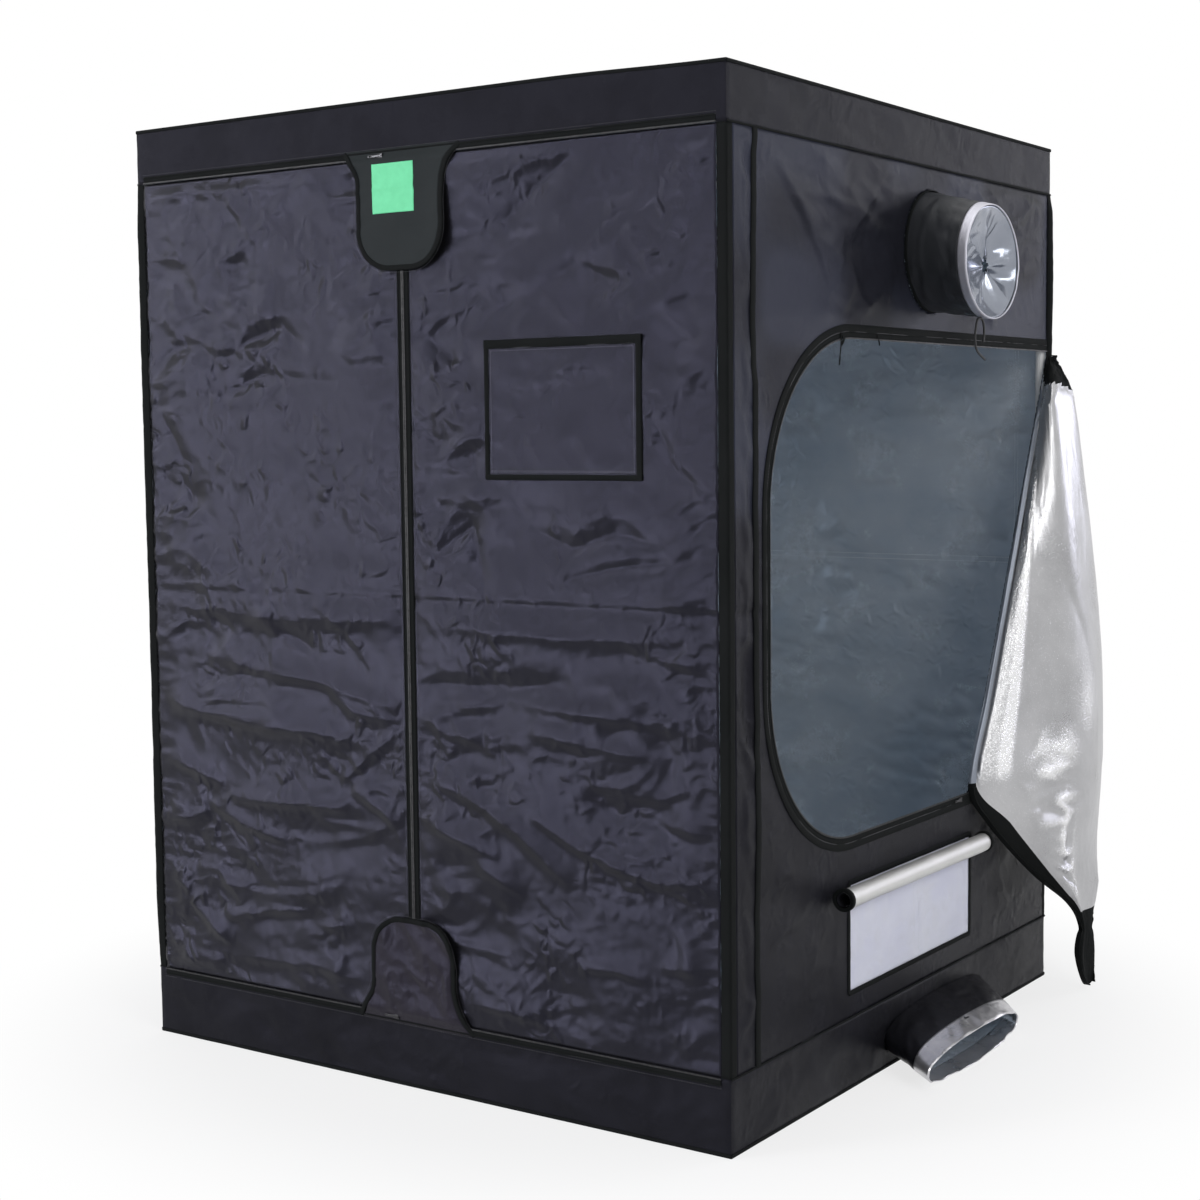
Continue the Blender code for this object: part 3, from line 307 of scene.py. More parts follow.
cover_cloth = finish(
    "matt cover cloth", (0.018, 0.022, 0.023), (0.026, 0.030, 0.031), (0.42, 0.55), Specular_IOR_Level=0.05
)
base_cover_cloth = finish(
    "creased cover cloth", (0.016, 0.014, 0.018), (0.024, 0.021, 0.027), (0.22, 0.30),
    (0.025, 0.0020), **sheen(0.14),
)
lining = finish(
    "silver lining", (0.60, 0.67, 0.74), (0.77, 0.82, 0.87), (0.18, 0.30),
    (0.032, 0.0036), **FILM, Metallic=0.6,
)
# A darker copy of the silver lining: painted shade inside the gathered mouth of the upper sleeve.
shaded_gathered_silver = finish(
    "gathered silver lining", (0.17, 0.19, 0.23), (0.36, 0.38, 0.43), (0.16, 0.26),
    (0.03, 0.0020), **FILM, Metallic=0.85,
)
cuff_silver = finish(
    "creased silver cuff", (0.50, 0.50, 0.52), (0.70, 0.69, 0.71), (0.24, 0.36),
    (0.02, 0.0008), **FILM, dust_size=0.05, Metallic=0.8,
)
flap_silver = finish(
    "silver side of the door", (0.36, 0.36, 0.37), (0.48, 0.48, 0.49), (0.26, 0.38),
    (0.030, 0.0006), **FILM, Metallic=0.85,
)


def paint_highlight_and_shade(material, bright, dark, speckle, sparkle):
    """Painted highlights and painted shade: a brighter, speckled colour where the mesh is marked for highlight,
    and a darker colour where it is marked for shade.
    """
    tree = material.node_tree
    surface = tree.nodes["Principled BSDF"]
    labels = ("Base Color", "Roughness", "Normal")
    base, gloss, bump = (surface.inputs[label].links[0].from_socket for label in labels)
    shine, shade = (
        add_node(tree, "ShaderNodeAttribute", attribute_name=name).outputs["Fac"] for name in ("shine", "shade")
    )
    grain = noise(tree, object_place(tree), 330.0, 1.0)
    grainy = maths(tree, "MULTIPLY", maths(tree, "SUBTRACT", grain, 0.5), speckle)
    mask = map_range(tree, maths(tree, "ADD", shine, grainy), 0.15, 0.90)
    # Painted highlight colour where marked, then painted shade over it where marked for shade.
    colour = mix_colour(tree, shade, mix_colour(tree, mask, base, (*bright, 1)), (*dark, 1))
    rough = add_node(tree, "ShaderNodeMix", {0: mask, 2: gloss, 3: 0.20}, data_type="FLOAT").outputs[0]
    glinting = {"Distance": sparkle, "Height": maths(tree, "MULTIPLY", grain, mask), "Normal": bump}
    glints = add_node(tree, "ShaderNodeBump", glinting).outputs[0]
    for label, value in zip(labels, (colour, rough, glints)):
        tree.links.new(value, surface.inputs[label])


def mark_points(obj, label, marks):
    """Store one number per point of the mesh, for a material to read."""
    obj.data.attributes.new(label, "FLOAT", "POINT").data.foreach_set("value", np.ravel(marks))


# The door's silver side: painted highlights on its crinkled band and crumpled facets, and painted shade in the
# crease beside its rolled edge.
paint_highlight_and_shade(flap_silver, (0.80, 0.80, 0.81), (0.035, 0.045, 0.06), 1.3, 0.0014)
side_cloth = finish(
    "side wall cloth", (0.009, 0.009, 0.011), (0.014, 0.014, 0.018), (0.22, 0.30),
    (0.035, 0.0024), slub=0.00009, **sheen(0.05),
)
# The side wall: painted violet sheen in patches, more of it higher up; the wall has no shade marks, so its dark
# colour is not used.
paint_highlight_and_shade(side_cloth, (0.034, 0.037, 0.054), (0.004, 0.004, 0.005), 0.35, 0.0)
# A darker copy of the silver lining: painted shade on the rolled edge of the door's silver side.
shaded_turned_silver = finish(
    "turned edge of the lining", (0.20, 0.22, 0.26), (0.30, 0.33, 0.38), (0.30, 0.42),
    (0.02, 0.0006), Metallic=0.6,
)
roll_silver = finish(
    "silver back of the vent cover", (0.60, 0.595, 0.58), (0.70, 0.695, 0.68), (0.30, 0.42),
    (0.02, 0.0003), Metallic=0.5,
)
pale_lining = finish(
    "pale sleeve cuff", (0.50, 0.50, 0.56), (0.66, 0.65, 0.72), (0.32, 0.45),
    (0.015, 0.0006), Metallic=0.55,
)
thread_black, thread_grey, thread_pale = (
    finish(name, dark, light, (0.5, 0.6), (0.01, 0.0))
    for name, dark, light in (
        ("sewing thread", (0.05, 0.05, 0.055), (0.09, 0.09, 0.10)),
        ("grey sewing thread", (0.16, 0.16, 0.18), (0.24, 0.24, 0.27)),
        ("pale sewing thread", (0.55, 0.57, 0.60), (0.75, 0.77, 0.80)),
    )
)
zip_coil = finish(
    "zip coil", (0.010, 0.010, 0.011), (0.018, 0.018, 0.019), (0.32, 0.42),
    (0.01, 0.0), Specular_IOR_Level=0.5,
)
lacquer = finish(
    "black lacquered metal", (0.016, 0.016, 0.018), (0.03, 0.03, 0.033), (0.22, 0.38),
    (0.01, 0.00002), pitch=0.004, depth=0.0, Metallic=0.4,
)
powder_coat = finish(
    "white powder coat", (0.70, 0.70, 0.70), (0.80, 0.80, 0.79), (0.28, 0.40),
    (0.004, 0.00003), pitch=0.002, depth=0.0, Coat_Weight=0.2,
)
net_thread = finish("pale net thread", (0.86, 0.87, 0.98), (0.92, 0.93, 1.0), (0.45, 0.6), (0.01, 0.0))
green_patch = finish(
    "green woven patch", (0.12, 0.66, 0.31), (0.16, 0.73, 0.37), (0.45, 0.6),
    (0.012, 0.0004), dust_size=0.02, depth=0.00005,
)
cord_braid = finish(
    "black braided cord", (0.012, 0.012, 0.013), (0.03, 0.03, 0.032), (0.5, 0.65),
    (0.01, 0.0), pitch=0.0022, depth=0.0003,
)
window_film = finish(
    "clear window film", (0.70, 0.76, 0.78), (0.78, 0.82, 0.84), (0.06, 0.14),
    (0.05, 0.0006), pitch=0.004, depth=0.0, Alpha=0.35,
)
print(len(bpy.data.materials), "materials so far")

# %% [markdown]
# Cloth is made as a grid of points. A plain grid would be a flat board, so
# each point is moved in or out by a height: smooth noise for slack cloth,
# sharp-edged noise for crumples, and long ridges, listed one by one, where the
# real cloth hangs in clear folds.

# %% Heights of slack and crumpled cloth
def swell(u, v, size, seed):
    """Smooth random heights from -1 to 1, whose hills are about size wide."""
    table = np.random.RandomState(seed).uniform(-1, 1, (64, 64))
    a, b = u / size + 17.3, v / size + 23.1
    i, j = np.floor(a).astype(int), np.floor(b).astype(int)
    f, g = a - i, b - j
    f, g = f * f * f * (f * (f * 6 - 15) + 10), g * g * g * (g * (g * 6 - 15) + 10)
    low = table[i % 64, j % 64] * (1 - f) + table[(i + 1) % 64, j % 64] * f
    high = table[i % 64, (j + 1) % 64] * (1 - f) + table[(i + 1) % 64, (j + 1) % 64] * f
    return low * (1 - g) + high * g


def crumple(u, v, size, seed):
    """Heights from -1 to 1 with sharp creases, as in cloth that was folded small."""
    a = u + 0.5 * size * swell(u, v, size * 1.3, seed + 1)
    b = v + 0.5 * size * swell(u, v, size * 1.3, seed + 2)
    first = 1 - 2.4 * np.abs(swell(a + 0.5 * b, b, size, seed))
    second = 1 - 2.4 * np.abs(swell(a - 0.6 * b, b, size * 0.6, seed + 3))
    return 0.62 * first + 0.38 * second


def ridge(u, v, line, height, width):
    """A fold along a line of points, gentle above its crest and steep below it."""
    nearest = np.full(u.shape, 1e9)
    place = np.zeros(u.shape)
    over = np.zeros(u.shape)
    for index, ((u0, v0), (u1, v1)) in enumerate(zip(line, line[1:])):
        du, dv = u1 - u0, v1 - v0
        t = np.clip(((u - u0) * du + (v - v0) * dv) / (du * du + dv * dv), 0, 1)
        away = np.hypot(u - u0 - t * du, v - v0 - t * dv)
        closer = away < nearest
        nearest = np.where(closer, away, nearest)
        place = np.where(closer, (index + t) / (len(line) - 1), place)
        over = np.where(closer, v - v0 - t * dv, over)
    above, below = (3.0, 0.8) if height > 0 else (1.3, 1.3)
    wide = np.where(over > 0, above * width, below * width)
    return height * np.exp(-(nearest / wide) ** 1.25) * (0.15 + 0.85 * np.sin(np.pi * place) ** 0.6)


def fade(distance, start, end):
    """0 up to the start, 1 from the end on, and smooth between them."""
    t = np.clip((distance - start) / (end - start), 0, 1)
    return t * t * (3 - 2 * t)


sample = crumple(np.array([0.1, 0.2]), np.array([0.3, 0.4]), 0.1, 5)
print("a sample of crumple heights:", np.round(sample, 3))

# %% [markdown]
# Panels and strips share two mesh makers. One turns rows of points into a
# sheet, and can leave out the squares inside a doorway. The other drags a
# closed section along a path, for tapes, bindings, hems and tubes.

# %% Mesh makers
def make_piece(name, verts, faces, materials, slots=None, sharp=40):
    mesh = bpy.data.meshes.new(name)
    mesh.from_pydata([tuple(v) for v in verts], [], [tuple(f) for f in faces])
    for material in materials:
        mesh.materials.append(material)
    if slots is not None:
        mesh.polygons.foreach_set("material_index", np.asarray(slots, np.int32))
    mesh.polygons.foreach_set("use_smooth", np.ones(len(mesh.polygons), bool))
    mesh.set_sharp_from_angle(angle=math.radians(sharp))
    return add_object(name, mesh)


def quads(rows, columns, closed=False):
    """Corner numbers of the squares between rows of points."""
    i, j = np.meshgrid(np.arange(rows - 1), np.arange(columns if closed else columns - 1), indexing="ij")
    low, high, after = i * columns, (i + 1) * columns, (j + 1) % columns
    return np.stack([low + j, low + after, high + after, high + j], -1)


def double(made, thickness, inside=1):
    """Give a sheet its thickness; its back takes the next material of the list."""
    solid = made.modifiers.new("thickness", "SOLIDIFY")
    solid.thickness = thickness
    solid.offset = -1
    solid.material_offset = inside
    return made


def grid_piece(name, points, materials, thickness, closed=False, inside=1):
    """A sheet of cloth from rows of points; a closed one is a tube."""
    faces = quads(*points.shape[:2], closed).reshape(-1, 4)
    return double(make_piece(name, points.reshape(-1, 3), faces, materials), thickness, inside)


def sweep(path, sides, outs, section, closed=False):
    """Corners and faces of a closed section dragged along a path."""
    path, sides, outs = (np.asarray(values, float) for values in (path, sides, outs))
    section = np.asarray(section, float)
    points = path[:, None] + sides[:, None] * section[None, :, :1] + outs[:, None] * section[None, :, 1:]
    count = len(section)
    last = (len(path) - 1) * count
    faces = quads(len(path), count, True).reshape(-1, 4).tolist()
    if closed:
        faces += [(last + j, last + (j + 1) % count, (j + 1) % count, j) for j in range(count)]
    else:
        faces += [tuple(range(count)), tuple(reversed(range(last, last + count)))]
    return points.reshape(-1, 3), faces


def joined(parts):
    """Several (corners, faces) lists as one."""
    verts, faces, start = [], [], 0
    for some_verts, some_faces in parts:
        verts.extend(map(tuple, some_verts))
        faces.extend(tuple(start + index for index in face) for face in some_faces)
        start += len(some_verts)
    return verts, faces


def face_outwards(made, merge=0.0):
    """Turn all faces outwards, after merging corners that are closer than merge."""
    bm = bmesh.new()
    bm.from_mesh(made.data)
    if merge:
        bmesh.ops.remove_doubles(bm, verts=bm.verts, dist=merge)
    bmesh.ops.recalc_face_normals(bm, faces=bm.faces)
    bm.to_mesh(made.data)
    bm.free()
    return made


def dress(made, body, slot, *nodes):
    """Ride on a body and stand for CAD nodes, which are hidden; the slot is not used."""
    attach(made, body)
    if nodes:
        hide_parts(*nodes)
    return made


drawcord.data.materials.append(cord_braid)
dress(drawcord, "tent", "binding_tape", "upper_drawcord")
print("mesh makers are ready")

# %% [markdown]
# A wall is described by its width and its height on one side of the tent.
# Holes are given as distances: positive outside the hole and negative inside
# it. Squares inside are left out, and corners that stick in are slid back to
# the outline, so that even a round hole gets a clean edge.

# %% Sides and holes
HALF = 0.75
CLOTH = 0.0012
TOP_SEAM, BASE_SEAM = 1.89, 0.15
WALL_LOW, WALL_HIGH = 0.1503, 1.8897
WALL_END = 0.7297
MID_SEAM = 1.02
SIDES = {
    "front": (Vector((1, 0, 0)), Vector((0, -1, 0))),
    "right": (Vector((0, 1, 0)), Vector((1, 0, 0))),
    "rear": (Vector((-1, 0, 0)), Vector((0, 1, 0))),
    "left": (Vector((0, -1, 0)), Vector((-1, 0, 0))),
}


def box_hole(u0, u1, v0, v1, radius=0.0):
    """Distance from a rectangle with rounded corners, less than 0 inside it."""
    def distance(u, v):
        a = np.abs(u - (u0 + u1) / 2) - (u1 - u0) / 2 + radius
        b = np.abs(v - (v0 + v1) / 2) - (v1 - v0) / 2 + radius
        return np.hypot(np.maximum(a, 0), np.maximum(b, 0)) + np.minimum(np.maximum(a, b), 0) - radius
    return distance


def round_hole(u0, v0, radius):
    return lambda u, v: np.hypot(u - u0, v - v0) - radius


def on_side(side, u, v, out):
    """Points in space of places on a side, lifted outwards."""
    along_wall, outward = (np.array(vector) for vector in SIDES[side])
    flat = u[..., None] * along_wall + v[..., None] * np.array((0, 0, 1))
    return flat + (HALF + out)[..., None] * outward


def cloth(name, u, v, step, place, holes=(), wrapped=False, materials=None, thickness=CLOTH):
    """A sheet over a grid of u and v, with holes cut out and a thickness behind it."""
    mid_u, mid_v = u, v
    if wrapped:
        mid_u = np.concatenate([u, 2 * u[:, -1:] - u[:, -2:-1]], 1)
        mid_v = np.concatenate([v, v[:, :1]], 1)
    mid_u = (mid_u[1:, 1:] + mid_u[:-1, :-1]) / 2
    mid_v = (mid_v[1:, 1:] + mid_v[:-1, :-1]) / 2
    keep = np.ones(mid_u.shape, bool)
    for hole in holes:
        keep &= hole(mid_u, mid_v) > 0
        tiny = 1e-5
        for _ in range(2):
            d = hole(u, v)
            grow_u = (hole(u + tiny, v) - d) / tiny
            grow_v = (hole(u, v + tiny) - d) / tiny
            inside = (d < 0) & (d > -1.5 * step)
            u = np.where(inside, u - d * grow_u, u)
            v = np.where(inside, v - d * grow_v, v)
    points = place(u, v).reshape(-1, 3)
    used, faces = np.unique(quads(*u.shape, wrapped)[keep], return_inverse=True)
    made = make_piece(name, points[used], faces.reshape(-1, 4), materials or [outer_cloth, lining])
    return double(made, thickness)


def steps(low, high, step):
    """Even places from low to high, about a step apart."""
    return np.linspace(low, high, max(2, round((high - low) / step)) + 1)


def panel(name, side, u_range, v_range, step, height, holes=(), **looks):
    """A sheet on one side of the tent, raised by height."""
    u, v = np.meshgrid(steps(*u_range, step), steps(*v_range, step))
    return cloth(name, u, v, step, lambda u, v: on_side(side, u, v, height(u, v)), holes, **looks)


print("sides:", ", ".join(SIDES))

# %% [markdown]
# The front is two leaves with a zip between them. Its folds were read off the
# real cloth: shallow swales near the top, a band of slack under the middle
# seam, and long sharp folds that run down from the zip and the corners.

# %% Folds of the front
FRONT_FOLDS = [
    (5, 20, -720, 1860, -450, 1855, -170, 1850),
    (-5, 26, -520, 1730, -420, 1690, -320, 1670, -190, 1680, -40, 1690),
    (2.5, 6, -480, 1850, -400, 1740),
    (-6, 16, -730, 1500, -600, 1540, -520, 1520),
    (-5.5, 13, -510, 1500, -430, 1540, -340, 1570, -270, 1520),
    (-6, 14, -550, 1450, -490, 1430, -400, 1470, -320, 1460, -180, 1450),
    (-3.5, 8, -700, 1400, -630, 1290),
    (-5, 10, -745, 1330, -670, 1340),
    (-4, 9, -745, 1670, -690, 1670),
    (-3.5, 7, 20, 1610, 140, 1620),
    (-4.5, 10, 40, 1550, 120, 1490, 200, 1480),
    (-4, 8, 10, 1380, 70, 1330, 120, 1320),
    (4, 16, 130, 1800, 300, 1850, 420, 1870),
    (-6.5, 24, 50, 1720, 220, 1730, 380, 1740),
    (-6, 20, 240, 1740, 320, 1800, 420, 1860),
    (-4, 20, 420, 1760, 550, 1790, 700, 1740),
    (-3.5, 16, 300, 1600, 420, 1660, 500, 1620),
    (-5, 14, 600, 1500, 680, 1510, 730, 1540),
    (-4, 8, 580, 1380, 640, 1270, 700, 1230),
    (-6, 12, 100, 1120, 160, 1160, 200, 1020),
    (-7, 18, 300, 1160, 400, 1120, 500, 1150, 620, 1130),
    (-5, 10, 380, 1060, 520, 1090, 720, 1110),
    (8, 26, -740, 975, -400, 955, -30, 965),
    (8, 26, 30, 960, 380, 950, 720, 955),
    (4, 10, -730, 890, -630, 940),
    (3, 8, -410, 950, -300, 890),
    (-5, 12, -360, 930, -260, 900),
    (2.5, 6, -250, 990, -170, 940, -100, 860),
    (8, 16, -590, 870, -420, 840, -250, 830, -30, 780),
    (7, 12, -220, 820, -150, 770, -40, 755),
    (9, 18, -730, 780, -650, 750, -400, 720, -250, 720, -100, 700),
    (6, 9, -20, 740, -110, 680, -190, 620),
    (7, 12, -730, 640, -630, 610, -530, 585),
    (7, 11, -500, 555, -340, 560, -170, 565),
    (7, 10, -570, 540, -470, 500, -350, 475),
    (7, 12, -160, 610, -80, 570, -20, 530),
    (6, 11, -710, 490, -640, 500, -580, 520),
    (5, 8, -620, 400, -550, 390, -490, 330),
    (6.5, 9, -530, 290, -400, 320, -280, 335),
    (5.5, 8, -640, 310, -520, 230),
    (5, 11, -520, 205, -390, 210, -260, 215, -140, 200),
    (4, 7, -700, 360, -640, 340),
    (-6, 20, 30, 845, 250, 845, 400, 860),
    (7, 20, 240, 820, 380, 810, 560, 800, 720, 780),
    (6, 12, 300, 760, 440, 745, 580, 735),
    (3, 7, 520, 945, 640, 915, 740, 885),
    (6, 12, 30, 770, 100, 740, 180, 735),
    (9, 13, 50, 640, 150, 620, 270, 560, 390, 470),
    (8, 12, 300, 600, 400, 550, 520, 510, 620, 500, 720, 505),
    (7, 11, 20, 565, 100, 540, 220, 505),
    (5, 9, 160, 490, 280, 435),
    (5, 10, 600, 615, 680, 600, 730, 610),
    (4, 9, 500, 660, 600, 655, 660, 680),
    (4.5, 7, 420, 310, 500, 318, 570, 305),
    (4.5, 7, 600, 335, 680, 340, 740, 355),
    (4, 7, 160, 200, 260, 195, 340, 185),
    (4, 10, 640, 180, 720, 240),
]
front_window = box_hole(0.202, 0.567, 1.252, 1.522)


def folded(u, v, folds):
    """Folds in millimetres: the height and the width of each, then the points of its line."""
    total = np.zeros(u.shape)
    for height, width, *line in folds:
        total += ridge(u, v, np.reshape(line, (-1, 2)) / 1000, height / 1000, width / 1000)
    return total


def slack(u, v, seed, strength=1.0):
    """Slack cloth between seams: broad swells, long crumples and small puckers."""
    broad = 0.0035 * swell(u, v * 1.4, 0.28, seed) + 0.0025 * swell(u * 0.6, v * 1.7, 0.12, seed + 5)
    mask = fade(swell(u, v, 0.20, seed + 9), -0.35, 0.35)
    lines = 0.0062 * crumple(u * 0.62, v * 1.35, 0.150, seed + 11) * mask
    lines = lines + 0.0022 * crumple(u * 0.8, v * 1.2, 0.060, seed + 13) * (0.15 + 0.85 * mask)
    puckers = 0.0006 * crumple(u, v, 0.028, seed + 17)
    return (broad + lines + puckers) * strength


def seam_line(v, at):
    """A folded seam: a low ridge with the cloth pulled in just above and below it."""
    d = (v - at) / 0.004
    return 0.0011 * np.exp(-d * d) - 0.0020 * np.exp(-((v - at + 0.012) / 0.012) ** 2)


def off_seams(v):
    """0 at the seams with the top and base bands, and 1 away from them."""
    return fade(np.minimum(v - WALL_LOW, WALL_HIGH - v), 0.0, 0.035)


def front_height(u, v):
    edge = fade(np.minimum(WALL_END - np.abs(u), np.abs(u) - 0.002), 0.012, 0.075)
    under_window = 0.15 + 0.85 * fade(front_window(u, v), -0.02, 0.05)
    strength = 0.75 + 0.20 * fade(v, 0.45, 0.65)
    wave = 1.3 * folded(u, v, FRONT_FOLDS) * (0.25 + 0.75 * edge)
    wave = wave + slack(u, v, 3, strength) * (0.35 + 0.65 * edge)
    tug = 0.0016 * crumple(u * 0.4, v * 2.2, 0.045, 71) * (1 - edge) * fade(np.abs(u), 0.018, 0.03)
    calm = off_seams(v) * under_window * fade(np.abs(u), 0.014, 0.030)
    return (wave + tug) * calm + seam_line(v, MID_SEAM)


print(len(FRONT_FOLDS), "folds on the front")

# %% The two leaves
LEAF_EDGE = 0.7288
window_opening = box_hole(0.232, 0.537, 1.282, 1.492)
for side, sign, holes in (("left", -1, []), ("right", 1, [window_opening])):
    hinge = sign * LEAF_EDGE
    leaf = panel(
        side + "_leaf_cloth", "front", sorted((hinge, sign * 0.0003)), (WALL_LOW, WALL_HIGH), 0.0060,
        front_height, holes, materials=[front_cloth, lining],
    )
    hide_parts("front_leaf_" + side)
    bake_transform(leaf)
    print(side, "leaf has", len(leaf.data.polygons), "squares")

# %% [markdown]
# The side wall carries the D-shaped doorway, the vent and the upper port. The
# part of the door that hangs below its diagonal fold is still closed, so the
# doorway ends at that fold and the wall's cloth goes on under it.

# %% The right wall
FOLD_LOW, FOLD_HIGH = (0.288, 0.5253), (0.7297, 1.509)
DOOR_FRONT, DOOR_LOW, DOOR_HIGH, DOOR_RADIUS = -0.600, 0.525, 1.522, 0.330
door_shape = box_hole(DOOR_FRONT, 1.60, DOOR_LOW, DOOR_HIGH, DOOR_RADIUS)
fold_length = math.hypot(FOLD_HIGH[0] - FOLD_LOW[0], FOLD_HIGH[1] - FOLD_LOW[1])


def below_fold(u, v):
    """Distance past the diagonal fold, towards the closed corner of the door."""
    du, dv = (FOLD_HIGH[0] - FOLD_LOW[0]) / fold_length, (FOLD_HIGH[1] - FOLD_LOW[1]) / fold_length
    return (u - FOLD_LOW[0]) * dv - (v - FOLD_LOW[1]) * du


def doorway(u, v):
    """Distance from the open part of the side door's outline."""
    return np.maximum(door_shape(u, v), below_fold(u, v))


vent_hole = box_hole(-0.280, 0.300, 0.205, 0.425)
port_hole = round_hole(0.090, 1.715, 0.125)
RIGHT_FOLDS = [
    (6, 9, -570, 1840, -470, 1750, -400, 1680, -360, 1610, -220, 1565),
    (4.5, 10, -120, 1860, -200, 1790, -270, 1730),
    (4, 10, -80, 1720, -120, 1590),
    (3.5, 12, -300, 1720, -340, 1600),
    (4, 10, -50, 1660, 20, 1570),
    (4, 7, -580, 485, -550, 495, -510, 488),
    (3.5, 7, -600, 360, -540, 385, -490, 380),
    (3.5, 7, -270, 455, -220, 500),
    (4, 10, -720, 220, -660, 280),
    (2.5, 10, -450, 260, -400, 340),
    (3, 20, 450, 300, 600, 420),
]


def right_height(u, v):
    edge = fade(WALL_END - np.abs(u), 0.0, 0.06)
    nearest = np.minimum(door_shape(u, v), np.minimum(vent_hole(u, v), port_hole(u, v)))
    clear = fade(nearest, 0.030, 0.075)
    strip = np.exp(-((u + 0.690) / 0.024) ** 2) * 0.0060 * crumple(u * 1.6 + 0.5 * v, v * 0.8, 0.10, 41)
    calm = 0.35 + 0.65 * fade(v, 0.9, 1.5)
    wave = folded(u, v, RIGHT_FOLDS) + slack(u, v, 29, calm) + strip
    return wave * off_seams(v) * clear * edge + seam_line(v, MID_SEAM) * fade(door_shape(u, v), 0.03, 0.04)


right_wall = panel(
    "right_wall_cloth", "right", (-WALL_END, WALL_END), (WALL_LOW, WALL_HIGH), 0.0070, right_height,
    [doorway, vent_hole, port_hole], materials=[side_cloth, lining],
)
# Painted sheen: patches of the wall are marked for a brighter colour, most of them high up.
place = np.array([corner.co[:] for corner in right_wall.data.vertices])
painted_sheen_patches = 0.30 + 0.70 * fade(swell(place[:, 1], place[:, 2], 0.16, 33), -0.5, 0.6)
mark_points(right_wall, "shine", painted_sheen_patches * (0.15 + 0.85 * fade(place[:, 2], 0.85, 1.45)))
dress(right_wall, "tent", "oxford_cloth", "right_wall", "side_door_panel")
print("right wall has", len(right_wall.data.polygons), "squares")

# %% The rear and left walls
def plain_height(seed, strength):
    def height(u, v):
        edge = fade(WALL_END - np.abs(u), 0.0, 0.07)
        return slack(1.6 * u, 1.6 * v, seed, strength) * edge * off_seams(v) + seam_line(v, MID_SEAM)
    return height


rear_height, left_height = plain_height(53, 0.75), plain_height(61, 0.40)
for side, height in (("rear", rear_height), ("left", left_height)):
    wall = panel(side + "_wall_cloth", side, (-WALL_END, WALL_END), (WALL_LOW, WALL_HIGH), 0.009, height)
    dress(wall, "tent", "oxford_cloth", side + "_wall")
print("four walls are up")

# %% [markdown]
# The bands at the top and the base go right round the tent in one strip. The
# strip is easier to write with a coordinate that runs round the corners, and
# equals y on the right side, so that the port's place needs no sums.

# %% Round the corners
ORDER = ("right", "rear", "left", "front")
CORNER = 0.004


def round_tent(p, z, out):
    """Points on the tent's skin, p running right, rear, left and front."""
    side = np.floor((p + HALF) / (2 * HALF)).astype(int) % 4
    u = (p + HALF) % (2 * HALF) - HALF
    turn = np.clip((np.abs(u) - HALF + CORNER) / CORNER, 0, 1) * math.pi / 4 * np.sign(u)
    flat = np.clip(u, CORNER - HALF, HALF - CORNER)
    points = np.zeros(p.shape + (3,))
    for index, name in enumerate(ORDER):
        along_wall, outward = (np.array(vector) for vector in SIDES[name])
        reach = (flat + (CORNER + out) * np.sin(turn))[..., None] * along_wall
        reach = reach + (HALF - CORNER + (CORNER + out) * np.cos(turn))[..., None] * outward
        points = np.where((side == index)[..., None], reach, points)
    points[..., 2] += z
    return points


def crowned(points):
    """The top edge stands up a little towards the front left, where the roof is slack."""
    x, y, z = np.moveaxis(points, -1, 0)
    rise = (0.0015 + 0.0065 * fade(0.75 - x, 0.0, 0.40)) * fade(0.35 - y, 0.0, 1.0) * fade(z, 1.90, 1.995)
    return points + np.stack([x * 0, y * 0, rise], -1)


def band(name, low, high, step, height, holes=()):
    p, z = np.meshgrid(np.arange(-HALF, 7 * HALF - step / 2, step), steps(low, high, step))
    return cloth(name, p, z, step, lambda p, z: crowned(round_tent(p, z, height(p, z))), holes, wrapped=True)


# %% The bands
def band_height(low, high, seed, deep):
    def height(p, z):
        inner = fade(np.minimum(z - low, high - z), 0.0, 0.020)
        corner = fade(HALF - np.abs((p + HALF) % (2 * HALF) - HALF), 0.004, 0.030)
        wave = 0.0020 * swell(p, z * 2, 0.13, seed) + 0.0016 * crumple(p * 0.8, z * 1.2, 0.07, seed + 4)
        return deep * wave * inner * (0.3 + 0.7 * corner)
    return height


def superellipse(y0, z0, half_y, half_z):
    def distance(y, z):
        a = np.abs(y - y0) / half_y
        b = np.abs(z - z0) / half_z
        level = (a ** 2.5 + b ** 2.5) ** 0.4
        return (level - 1) * min(half_y, half_z)
    return distance


lower_port = superellipse(0.130, 0.062, 0.241, 0.038)
for node, low, high, seed, deep, holes in (
    ("top_band", TOP_SEAM, 1.9982, 101, 0.8, []), ("base_band", 0.0018, BASE_SEAM, 113, 1.0, [lower_port]),
):
    made = band(node + "_cloth", low, high, 0.009, band_height(low, high, seed, deep), holes)
    dress(made, "tent", "oxford_cloth", node)
    print(node, "has", len(made.data.polygons), "squares")

# %% Roof and ground sheet
def flat_cloth(name, node, step, place, **looks):
    line = steps(-0.7495, 0.7495, step)
    return dress(cloth(name, *np.meshgrid(line, line), step, place, **looks), "tent", "oxford_cloth", node)


def roof_place(x, y):
    """Roof cloth that only rises from its edges, so that it clears the hanging bars."""
    edge = fade(0.745 - np.maximum(np.abs(x), np.abs(y)), 0.0, 0.06)
    billow = 0.0030 + 0.0030 * crumple(x, y, 0.14, 131) + 0.002 * swell(x, y, 0.3, 137)
    return crowned(np.stack([x, y, 1.9995 + np.maximum(billow, 0.0) * edge], -1))


def ground_place(x, y):
    return np.stack([x, y, 0.0012 - 0.0004 * (1 + swell(x, y, 0.05, 139)) / 2], -1)


